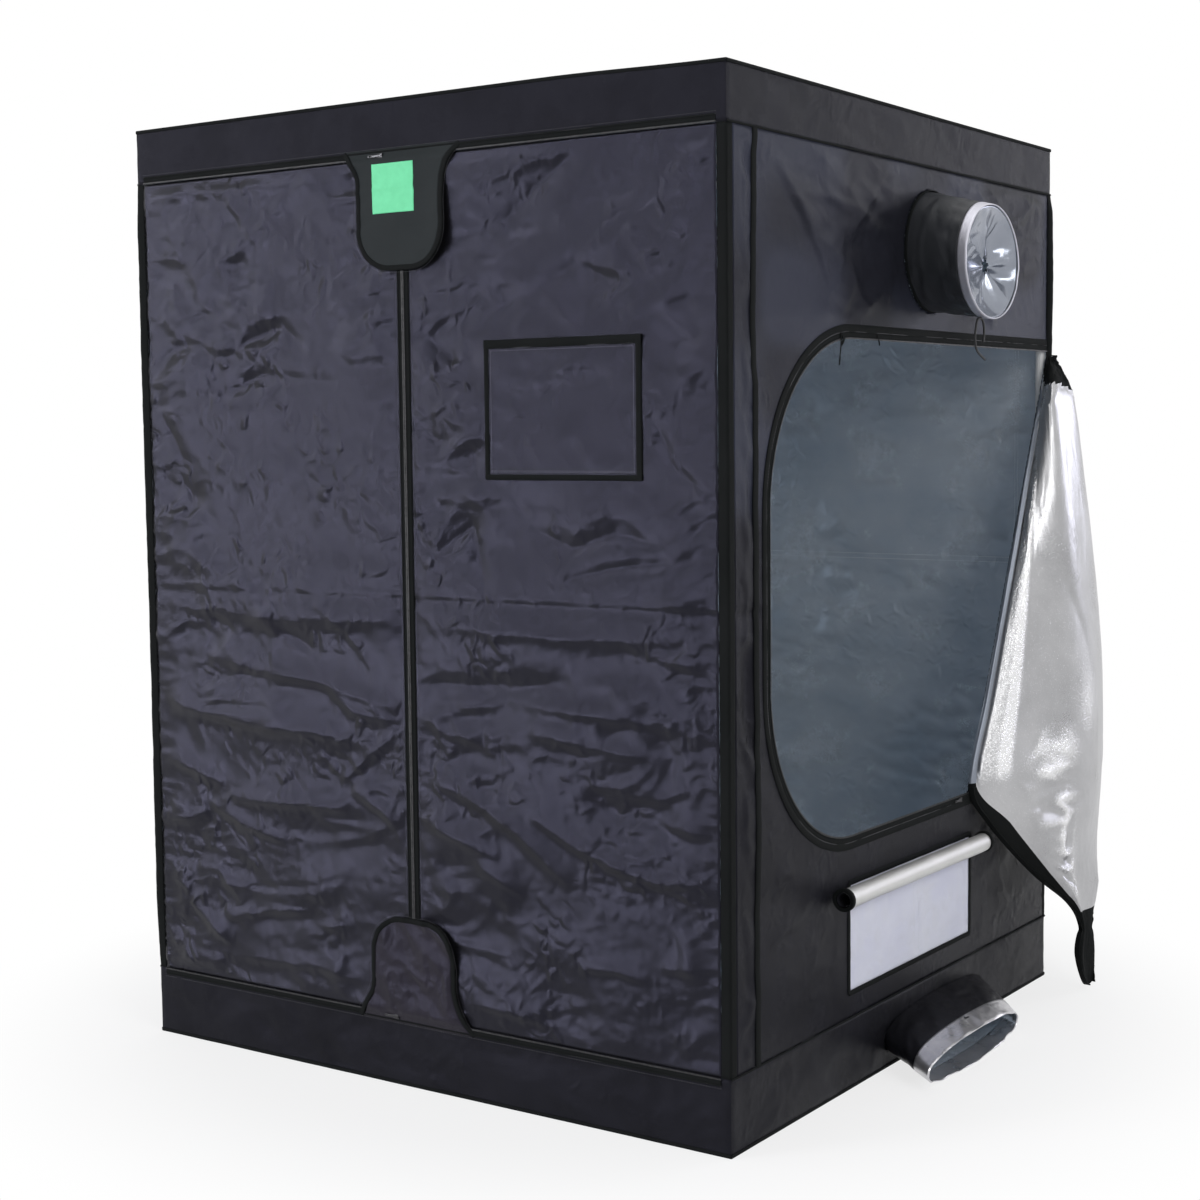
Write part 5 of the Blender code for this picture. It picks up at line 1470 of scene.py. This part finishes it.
FLAP_ACROSS, FLAP_DOWN, HEM_COLUMNS = 140, 190, 10
HEM_TOP, HEM_FOOT = 0.455, 0.757
down_it = np.linspace(0, 1, FLAP_DOWN)
hem_share = np.interp(
    down_it, [0.0, 0.42, 0.46, 0.55, 0.70, HEM_FOOT, 1.0], [0.06, 0.06, 0.07, 0.17, 0.24, 0.30, 0.30]
)[:, None]
columns = np.linspace(0, 1, FLAP_ACROSS - HEM_COLUMNS)
grid_u = np.concatenate([
    hem_share * np.linspace(0, 1, HEM_COLUMNS + 1)[None, :-1], hem_share + (1 - hem_share) * columns[None],
], 1)
grid_v = np.repeat(down_it[:, None], FLAP_ACROSS, 1)
flap_points = np.array([[flap_surface(u, v) for u in row] for row, v in zip(grid_u, down_it)])
flap_out = np.cross(np.gradient(flap_points, axis=0), np.gradient(flap_points, axis=1))
flap_out /= np.maximum(np.linalg.norm(flap_out, axis=2), 1e-9)[..., None]
flap_points = flap_points + flap_out * flap_relief(grid_u, grid_v)[..., None]
flap_faces = quads(FLAP_DOWN, FLAP_ACROSS).reshape(-1, 4)[:, ::-1]
face_u, face_v = (((grid[1:, 1:] + grid[:-1, :-1]) / 2).ravel() for grid in (grid_u, grid_v))
face_column = np.tile(np.arange(FLAP_ACROSS - 1), FLAP_DOWN - 1)
zones = np.zeros(len(flap_faces), int)
# The rolled edge takes the darker silver, which is painted shade; the hem and the foot take the black binding.
zones[(face_u < 0.078) & (face_v < HEM_TOP)] = 4
zones[(face_column < HEM_COLUMNS) & (face_v > HEM_TOP)] = 2
zones[(face_v > HEM_FOOT) | (face_v < 0.028 + 0.045 * face_u / FLAP_BEND)] = 2
flap = make_piece(
    "door_flap_cloth", flap_points.reshape(-1, 3), flap_faces,
    [flap_silver, outer_cloth, binding, outer_cloth, shaded_turned_silver, outer_cloth], zones,
)
# Painted highlights on the silver side: a bright band beside the rolled edge, crumpled facets low down and at
# the top, and one glint. Painted shade: the crease next to the rolled edge.
upper = fade(grid_v, 0.04, 0.12) * (1 - fade(grid_v, 0.44, 0.47))
strength = 0.25 + 0.75 * fade(grid_v, 0.08, 0.26)
highlight_stripes = np.exp(-((grid_u - 0.205) / 0.030) ** 4) + 0.42 * np.exp(-((grid_u - 0.145) / 0.045) ** 4)
shine = upper * strength * highlight_stripes
highlight_facets = 0.85 * fade(crumple(grid_u * 0.50, grid_v * 1.5, 0.055, 227), -0.45, 0.75)
low = fade(grid_v, 0.40, 0.44) * (1 - fade(grid_v, 0.69, 0.75)) * (1 - fade(np.abs(grid_u - 0.385), 0.03, 0.13))
glint = 0.55 * np.exp(-((grid_u - 0.53) / 0.05) ** 2 - ((grid_v - 0.40) / 0.035) ** 2)
for patch in (highlight_facets * low, glint, 0.9 * (1 - fade(grid_v, 0.06, 0.09)) * highlight_facets):
    shine = np.maximum(shine, patch)
shade = upper * np.exp(-((grid_u - 0.088) / 0.008) ** 4) * 0.85
mark_points(flap, "shine", shine)
mark_points(flap, "shade", shade)
middle = FLAP_DOWN // 3, 30
print("flap faces", np.round(flap_out[middle], 2), "at", np.round(flap_points[middle], 3))

# %% Flap's hem
def edge_strip(points, normals, inward, width, thick):
    """A bound edge: a tape that wraps both faces of a sheet along one edge."""
    section = [(-width, -thick), (-width, thick), (-0.001, thick), (0.0012, 0.6 * thick),
               (0.0012, -0.6 * thick), (-0.001, -thick)]
    return sweep(points, -inward, normals, section)


hem_parts = []
for start, edge, inner in ((int(0.46 * FLAP_DOWN), 0, 3), (0, -1, -4)):
    rows, normals = flap_points[start:], flap_out[start:, edge]
    inward = rows[:, inner] - rows[:, edge]
    inward /= np.linalg.norm(inward, axis=1)[:, None]
    keep = np.linalg.norm(rows[:, -1] - rows[:, 0], axis=1) > 0.012
    hem_parts.append(edge_strip(rows[keep, edge], normals[keep], inward[keep], 0.012, 0.0018))
dress(double(flap, CLOTH), "door_flap", "silver_lining", "side_door_flap")
flap_hem = tape_piece("door_flap_hem", "door_flap", hem_parts)
print("flap is hemmed along", len(hem_parts), "edges")

# %% [markdown]
# The vent is a strip of net behind the wall, with its cloth cover rolled up
# over it. The net is real ribbons, made by a small tree: a grid's edges, each
# given the section of a flat thread.

# %% The vent's net
net_tree, given = new_tree("net", Thread="Float", Thickness="Float")
line = flow(net_tree, "GeometryNodeMeshToCurve", {0: given["Geometry"]})
flat_size = {"Width": given["Thickness"], "Height": given["Thread"]}
section = flow(net_tree, "GeometryNodeCurvePrimitiveQuadrilateral", flat_size)
solid = flow(net_tree, "GeometryNodeCurveToMesh", {0: line, 1: section, "Fill Caps": True})
solid = flow(net_tree, "GeometryNodeSetMaterial", {"Geometry": solid, "Material": given["Material"]})
solid = flow(net_tree, "GeometryNodeRealizeInstances", {"Geometry": solid})
net_tree.links.new(solid, net_tree.nodes.new("NodeGroupOutput").inputs[0])

NET_PITCH = 0.0024
net_y = np.arange(-0.290, 0.3105, NET_PITCH)
net_z = np.arange(0.195, 0.4355, NET_PITCH)


def net_lines():
    verts, edges = [], []
    threads = [(y, 0.194, 0.436, True) for y in net_y] + [(z, -0.291, 0.311, False) for z in net_z]
    for fixed, low, high, rises in threads:
        run, still = np.linspace(low, high, 16), np.full(16, fixed)
        y, z = (still, run) if rises else (run, still)
        relief = 0.0024 * (crumple(y, z, 0.12, 239) - 0.6) * fade(-vent_hole(y, z), 0.0, 0.03)
        start = len(verts)
        verts += [tuple(p) for p in on_side("right", y, z, -0.0022 + np.minimum(relief, 0.0005))]
        edges += [(start + i, start + i + 1) for i in range(15)]
    return verts, edges


source = line_source("net_lines", *net_lines())
net = run_tree("vent_net", source, net_tree, {"Thread": 0.0019, "Thickness": 0.0003, "Material": net_thread})
dress(net, "tent", "vent_mesh", "vent_mesh")
print("net has", len(net.data.polygons), "faces")
vent_corners = [(-0.284, 0.201), (0.304, 0.201), (0.304, 0.429), (-0.284, 0.429), (-0.284, 0.201)]
parts = [wall_tape("right", vent_corners[i:i + 2], 0.011, 0.0012, 0.0002, 53 + i, 0.01) for i in range(4)]
tape_piece("vent_binding", "tent", parts)

# %% The rolled vent cover
ROLL_X, ROLL_Z, ROLL_RADIUS = 0.7733, 0.410, 0.0224
ROLL_TURNS, START_TURN = 2.3, math.radians(308)
angle = np.linspace(0, math.tau * ROLL_TURNS, 84)
spiral = ROLL_RADIUS - 0.0040 * (1 - angle / angle[-1]) * ROLL_TURNS
roll_y = np.linspace(-0.352, 0.332, 96)
soft = 1 + 0.030 * swell(roll_y[:, None], angle[None] * 0.02, 0.06, 241)
soft = soft - 0.02 * np.abs(swell(roll_y[:, None], angle[None] * 0.05, 0.025, 251))
points = np.stack([
    ROLL_X + spiral * np.cos(START_TURN - angle) * soft,
    np.repeat(roll_y[:, None], len(angle), 1),
    ROLL_Z + spiral * np.sin(START_TURN - angle) * soft,
], -1)
roll = grid_piece("vent_cover_spiral", points, [roll_silver, outer_cloth], 0.0011)
roll.modifiers["thickness"].material_offset_rim = 1
dress(roll, "vent_roll", "silver_lining", "vent_cover_roll")


def around(count):
    return np.linspace(0, math.tau, count, endpoint=False)


END_RADIUS = 0.0222
outs = np.stack([np.cos(around(40)), np.zeros(40), np.sin(around(40))], -1)
inner = [(-0.005, -0.0060), (-0.005, 0.0), (0.005, 0.0), (0.005, -0.0060)]
rings = []
for y in (-0.3475, 0.3275):
    path = np.array((ROLL_X, y, ROLL_Z)) + END_RADIUS * outs
    for section in (tape_section(0.010, 0.0014), inner):
        rings.append(sweep(path, np.tile((0, 1, 0), (40, 1)), outs, section, closed=True))
tape_piece("vent_roll_ends", "vent_roll", rings)
print("roll winds", ROLL_TURNS, "turns")

# %% [markdown]
# The duct sleeve is a soft tube of wall cloth with a silver cuff. Its mouth
# is drawn in, so the lining is gathered towards a small hole. The rings of
# the tube are written as in the CAD model, and the gathers are added to them.

# %% The upper sleeve
def between(first, last, share):
    return first + (last - first) * share


def upper_ring(turn, share, inward=0.0):
    """A ring of the sleeve at a share of its length."""
    half_y, half_z = between(0.1262, 0.135, share) - inward, between(0.1262, 0.118, share) - inward
    y = between(0.090, 0.066, share) + half_y * np.cos(turn)
    z = between(1.715, 1.685, share) + half_z * np.sin(turn)
    return np.stack([0.7503 + SLEEVE_REACH * share + 0 * turn, y, z], -1)


def lip(ring_of, turn, angles):
    """Rings that curl the end of a cuff inwards."""
    rows = [ring_of(turn, 1.0, 0.003 * (1 - math.cos(angle)) / 2) for angle in angles]
    for row, angle in zip(rows, angles):
        row[:, 0] += 0.003 * math.sin(angle)
    return rows


SLEEVE_REACH = 0.150
CLOTH_END = 0.868
turn, share = np.meshgrid(around(110), np.linspace(0, CLOTH_END, 26))
ends = fade(np.minimum(share, CLOTH_END - share), 0.0, 0.10)
folds = 0.0030 * swell(turn * 0.13, share * 0.15, 0.10, 257)
folds = folds + 0.0022 * crumple(turn * 0.135, share * 0.30, 0.07, 263)
folds = folds + 0.0020 * np.sin(17 * turn + 2.0 * np.sin(3 * turn)) * fade(share, 0.45, CLOTH_END)
wrapped_folds = folds * (0.5 + 0.5 * np.cos(turn / 2 - math.pi / 2))
points = upper_ring(turn, share, 0.0008 - np.clip(wrapped_folds, -0.004, 0.0025) * ends)
sleeve = grid_piece("upper_sleeve_cloth", points, [sleeve_cloth, lining], CLOTH, closed=True)
dress(sleeve, "tent", "oxford_cloth", "upper_sleeve")

CUFF_START = 1 - 0.0197 / SLEEVE_REACH
turn = around(140)
rows = [upper_ring(turn, CUFF_START + (1 - CUFF_START) * t, -0.0003) for t in np.linspace(0, 1, 7)]
cuff = np.array(rows + lip(upper_ring, turn, np.linspace(0, math.pi, 9)[1:]))
wobble = 0.0018 * crumple(np.cos(turn) * 0.12, np.sin(turn) * 0.12, 0.05, 269)
cuff[..., 0] += wobble[None] * np.linspace(0, 1, len(cuff))[:, None] * 0.6
cuff_piece = grid_piece("upper_sleeve_cuff_band", cuff, [pale_lining, lining], 0.0008, closed=True)
dress(cuff_piece, "tent", "silver_lining", "upper_sleeve_cuff")

turn, depth = np.meshgrid(around(150), np.linspace(0, 1, 40))
rim = upper_ring(turn, 1.0, 0.0038)
rim[..., 0] -= CLOTH + 0.0003
pleat = 1 + 0.25 * np.sin(7 * turn)
pinch_y, pinch_z = 0.124 + 0.013 * pleat * np.cos(turn), 1.682 + 0.016 * pleat * np.sin(turn)
pinch = np.stack([rim[..., 0] - 0.040, pinch_y, pinch_z], -1)
lined = rim + (pinch - rim) * depth[..., None]
folds = 0.0130 * np.arcsin(np.sin(5 * turn + 1.2 * np.sin(2 * turn + 1.0))) * 2 / math.pi - 0.0100
folds = folds + 0.0015 * np.sin(19 * turn + 1.5 * np.sin(5 * turn))
folds = folds + 0.0030 * crumple(lined[..., 1], lined[..., 2], 0.06, 271)
lined[..., 0] += np.clip(folds, -0.020, 0.0040) * np.sin(math.pi * depth) ** 0.8
liner = grid_piece("upper_sleeve_gathers", lined, [shaded_gathered_silver, outer_cloth], 0.0008, closed=True)
dress(liner, "tent", "silver_lining", "upper_sleeve_liner")
turn = around(72)
ring = upper_ring(turn, 0.0, -0.0002) + np.array((0.0035, 0, 0))
outs = np.stack([np.zeros(72), np.cos(turn), np.sin(turn)], -1)
seam = sweep(ring, np.tile((1, 0, 0), (72, 1)), outs, tape_section(0.007, 0.0018), closed=True)
tape_piece("upper_sleeve_seam", "tent", [seam])
print("upper sleeve reaches x =", round(float(cuff[..., 0].max()), 4))

# %% [markdown]
# The lower sleeve is a flat mouth for a cable or a hose at the ground, with a
# wide silver cuff turned back over its end.

# %% The lower sleeve
def lower_ring(turn, share, inward=0.0):
    side, up = (np.sign(way) * np.abs(way) ** 0.8 for way in (np.cos(turn), np.sin(turn)))
    half_y, half_z = between(0.255, 0.226, share) - inward, between(0.052, 0.040, share) - inward
    y, z = between(0.130, -0.004, share), between(0.062, 0.045, share)
    x = 0.7506 + share * (SLEEVE_REACH + 0.008 * up)
    return np.stack([x, y + half_y * side, z + half_z * up], -1)


turn, share = np.meshgrid(around(130), np.linspace(0, 0.753, 24))
ends = fade(np.minimum(share + 0.02, 0.77 - share), 0.0, 0.12)
relief = 0.0026 * crumple(np.cos(turn) * 0.3, share * 0.2 + np.sin(turn) * 0.06, 0.07, 277)
points = lower_ring(turn, share, 0.0010 - np.clip(relief, -0.004, 0.001) * ends)
low_sleeve = grid_piece("lower_sleeve_cloth", points, [outer_cloth, lining], CLOTH, closed=True)
dress(low_sleeve, "tent", "oxford_cloth", "lower_sleeve")

turn = around(170)
rows = [lower_ring(turn, share, -0.0010) for share in np.linspace(1 - 0.047 / SLEEVE_REACH, 1.0, 14)]
rows += lip(lower_ring, turn, np.linspace(0, math.pi, 8)[1:-1])
rows += [lower_ring(turn, share, 0.0032) for share in np.linspace(1.0, 1 - 0.045 / SLEEVE_REACH, 12)]
cuff = np.array(rows)
deep = np.linspace(0, 1, len(rows))[:, None]
relief = 0.0042 * crumple(turn[None] * 0.11, deep * 0.03, 0.055, 281)
relief = relief + 0.0010 * crumple(turn[None] * 0.11, deep * 0.06, 0.022, 283)
for slit, cut in ((math.pi / 2, 0.0045), (2.45, 0.0035)):
    relief = relief - cut * np.exp(-((turn[None] - slit) / 0.035) ** 2) * (deep < 0.45)
relief = relief * np.sin(math.pi * np.clip(deep * 1.1, 0, 1)) ** 0.4
cuff[..., 0] += np.clip(0.6 * relief, -0.003, 0.003)
cuff[..., 2] = np.clip(cuff[..., 2] + relief * np.sin(turn)[None], 0.0042, None)
low_cuff = grid_piece("lower_sleeve_cuff_band", cuff, [cuff_silver, cuff_silver], 0.0006, closed=True)
dress(low_cuff, "tent", "silver_lining", "lower_sleeve_cuff")
print("lower sleeve reaches x =", round(float(cuff[..., 0].max()), 4))

# %% [markdown]
# Small things remain: two ties on the doorway's top, the seams inside, and
# the steel frame, whose CAD shapes are right and only need their coating.

# %% Ties and inside seams
def ribbon(points, width=0.004, thick=0.0008):
    """A narrow tape that hangs along a smoothed line of points."""
    fine = np.array([along(points, t) for t in np.linspace(0, 1, 16)])
    step = np.gradient(fine, axis=0)
    step /= np.linalg.norm(step, axis=1)[:, None]
    sides = np.cross(step, (1, 0, 0))
    sides /= np.linalg.norm(sides, axis=1)[:, None]
    section = [(-width / 2, 0), (-width / 2, thick), (width / 2, thick), (width / 2, 0)]
    return sweep(fine, sides, np.cross(sides, step), section)


ties = [
    ribbon([
        (0.7520, -0.3200, 1.5330), (0.7524, -0.3205, 1.5180),
        (0.7500, -0.3190, 1.4980), (0.7480, -0.3205, 1.4690),
    ]),
    ribbon([(0.7520, -0.3160, 1.5300), (0.7530, -0.3120, 1.5190), (0.7505, -0.3170, 1.5080)], 0.006, 0.0016),
    ribbon([(0.7520, -0.1640, 1.5340), (0.7526, -0.1600, 1.5260), (0.7500, -0.1500, 1.5120)]),
]
tape_piece("doorway_ties", "tent", ties)


def inside_line(x, z):
    """A line of places on the inner face of the rear wall, and the way that it faces."""
    u, v = np.broadcast_arrays(-np.asarray(x, float), np.asarray(z, float))
    inner = on_side("rear", u, v, rear_height(u, v) - CLOTH - 0.0002)
    return [tuple(point) for point in inner], (0, -1, 0)


going_up, going_across = np.linspace(0.16, 1.88, 160), np.linspace(-0.72, 0.72, 140)
inside = [inside_line(x, going_up) for x in (0.672, 0.664)]
inside += [inside_line(going_across, z) for z in (1.026, 1.014)]
sewn_row("inside_seam_stitches", inside, 0.007, (0.0045, 0.0012, 0.0009), thread_pale, "tent", "silver_lining")
print(len(ties), "ties and", len(inside), "inside seams")

# %% The steel frame
steel = ("upright", "base_rail", "top_rail", "base_corner", "top_corner", "hanging_bar")
for name, node in frame["nodes"].items():
    if name.startswith(steel):
        made = node if isinstance(node, bpy.types.Object) else bpy.data.objects[name]
        for slot in made.material_slots:
            slot.material = powder_coat
print("steel pieces:", sum(name.startswith(steel) for name in frame["nodes"]))

# %% [markdown]
# The floor and the lights. The floor is pale and far parts of it are plain
# white for the camera, so that the background is clean while the ground near
# the tent keeps its soft shadow.

# %% Floor and world
floor_mesh = bpy.data.meshes.new("studio_floor")
FLOOR_HALF = 30
floor_corners = [(FLOOR_HALF * x, FLOOR_HALF * y, 0) for x, y in ((-1, -1), (1, -1), (1, 1), (-1, 1))]
floor_mesh.from_pydata(floor_corners, [], [(0, 1, 2, 3)])
floor = add_object("studio_floor", floor_mesh)
floor.location = (0, 0, -0.0005)
floor_paint = bpy.data.materials.new("pale studio floor")
floor_paint.use_nodes = True
tree = floor_paint.node_tree
paint = tree.nodes["Principled BSDF"]
paint.inputs["Base Color"].default_value = (0.93, 0.93, 0.94, 1)
paint.inputs["Roughness"].default_value = 0.9
paint.inputs["Specular IOR Level"].default_value = 0.0
white = add_node(tree, "ShaderNodeEmission", {"Strength": 1.0})
far = add_node(tree, "ShaderNodeVectorMath", {0: object_place(tree)}, operation="LENGTH").outputs["Value"]
far = map_range(tree, far, 0.9, 1.6, 0.75, interpolation_type="SMOOTHSTEP")


def seen_directly(tree):
    """1 for what the camera sees, also in a mirror or through film."""
    rays = add_node(tree, "ShaderNodeLightPath").outputs
    seen = maths(tree, "MAXIMUM", rays["Is Camera Ray"], rays["Is Glossy Ray"])
    return maths(tree, "MAXIMUM", seen, rays["Is Transmission Ray"])


mixed = add_node(
    tree, "ShaderNodeMixShader",
    {0: maths(tree, "MULTIPLY", far, seen_directly(tree)), 1: paint.outputs[0], 2: white.outputs[0]},
)
tree.links.new(mixed.outputs[0], tree.nodes["Material Output"].inputs["Surface"])
floor_mesh.materials.append(floor_paint)

world = bpy.data.worlds.new("studio")
world.use_nodes = True
bpy.context.scene.world = world
tree = world.node_tree
soft = add_node(tree, "ShaderNodeBackground", {"Color": (0.97, 0.98, 1.0, 1), "Strength": 0.38})
clean = add_node(tree, "ShaderNodeBackground", {"Color": (1, 1, 1, 1), "Strength": 1.0})
mixed = add_node(tree, "ShaderNodeMixShader", {0: seen_directly(tree), 1: soft.outputs[0], 2: clean.outputs[0]})
tree.links.new(mixed.outputs[0], tree.nodes["World Output"].inputs["Surface"])
print("floor and world are set")

# %% Lamps
def softbox(name, place, aim, size, radiance, colour=(1, 1, 1)):
    """A rectangular lamp whose face has the given brightness, 1 being paper white."""
    lamp = bpy.data.lights.new(name, "AREA")
    lamp.shape = "RECTANGLE"
    lamp.size, lamp.size_y = size
    lamp.energy = radiance * math.pi * size[0] * size[1]
    lamp.color = colour
    made = add_object(name, lamp)
    made.location = place
    made.rotation_euler = (Vector(aim) - Vector(place)).to_track_quat("-Z", "Y").to_euler()
    made.visible_camera = False


softbox("key_left", (-9.0, -12.5, 3.9), (0, -0.75, 1.45), (4.4, 3.2), 30.0, (0.93, 0.93, 1.0))
softbox("fill_right", (4.6, -2.6, 3.0), (0.8, 0.2, 0.9), (1.8, 1.8), 6.0)
softbox("side_rear", (4.7, 6.5, 2.5), (0.8, 0.2, 1.6), (2.6, 2.0), 5.0, (0.85, 0.85, 1.0))
softbox("overhead", (0, 0, 5.0), (0, 0, 0), (3.5, 3.5), 1.6)
print(len(bpy.data.lights), "lamps")
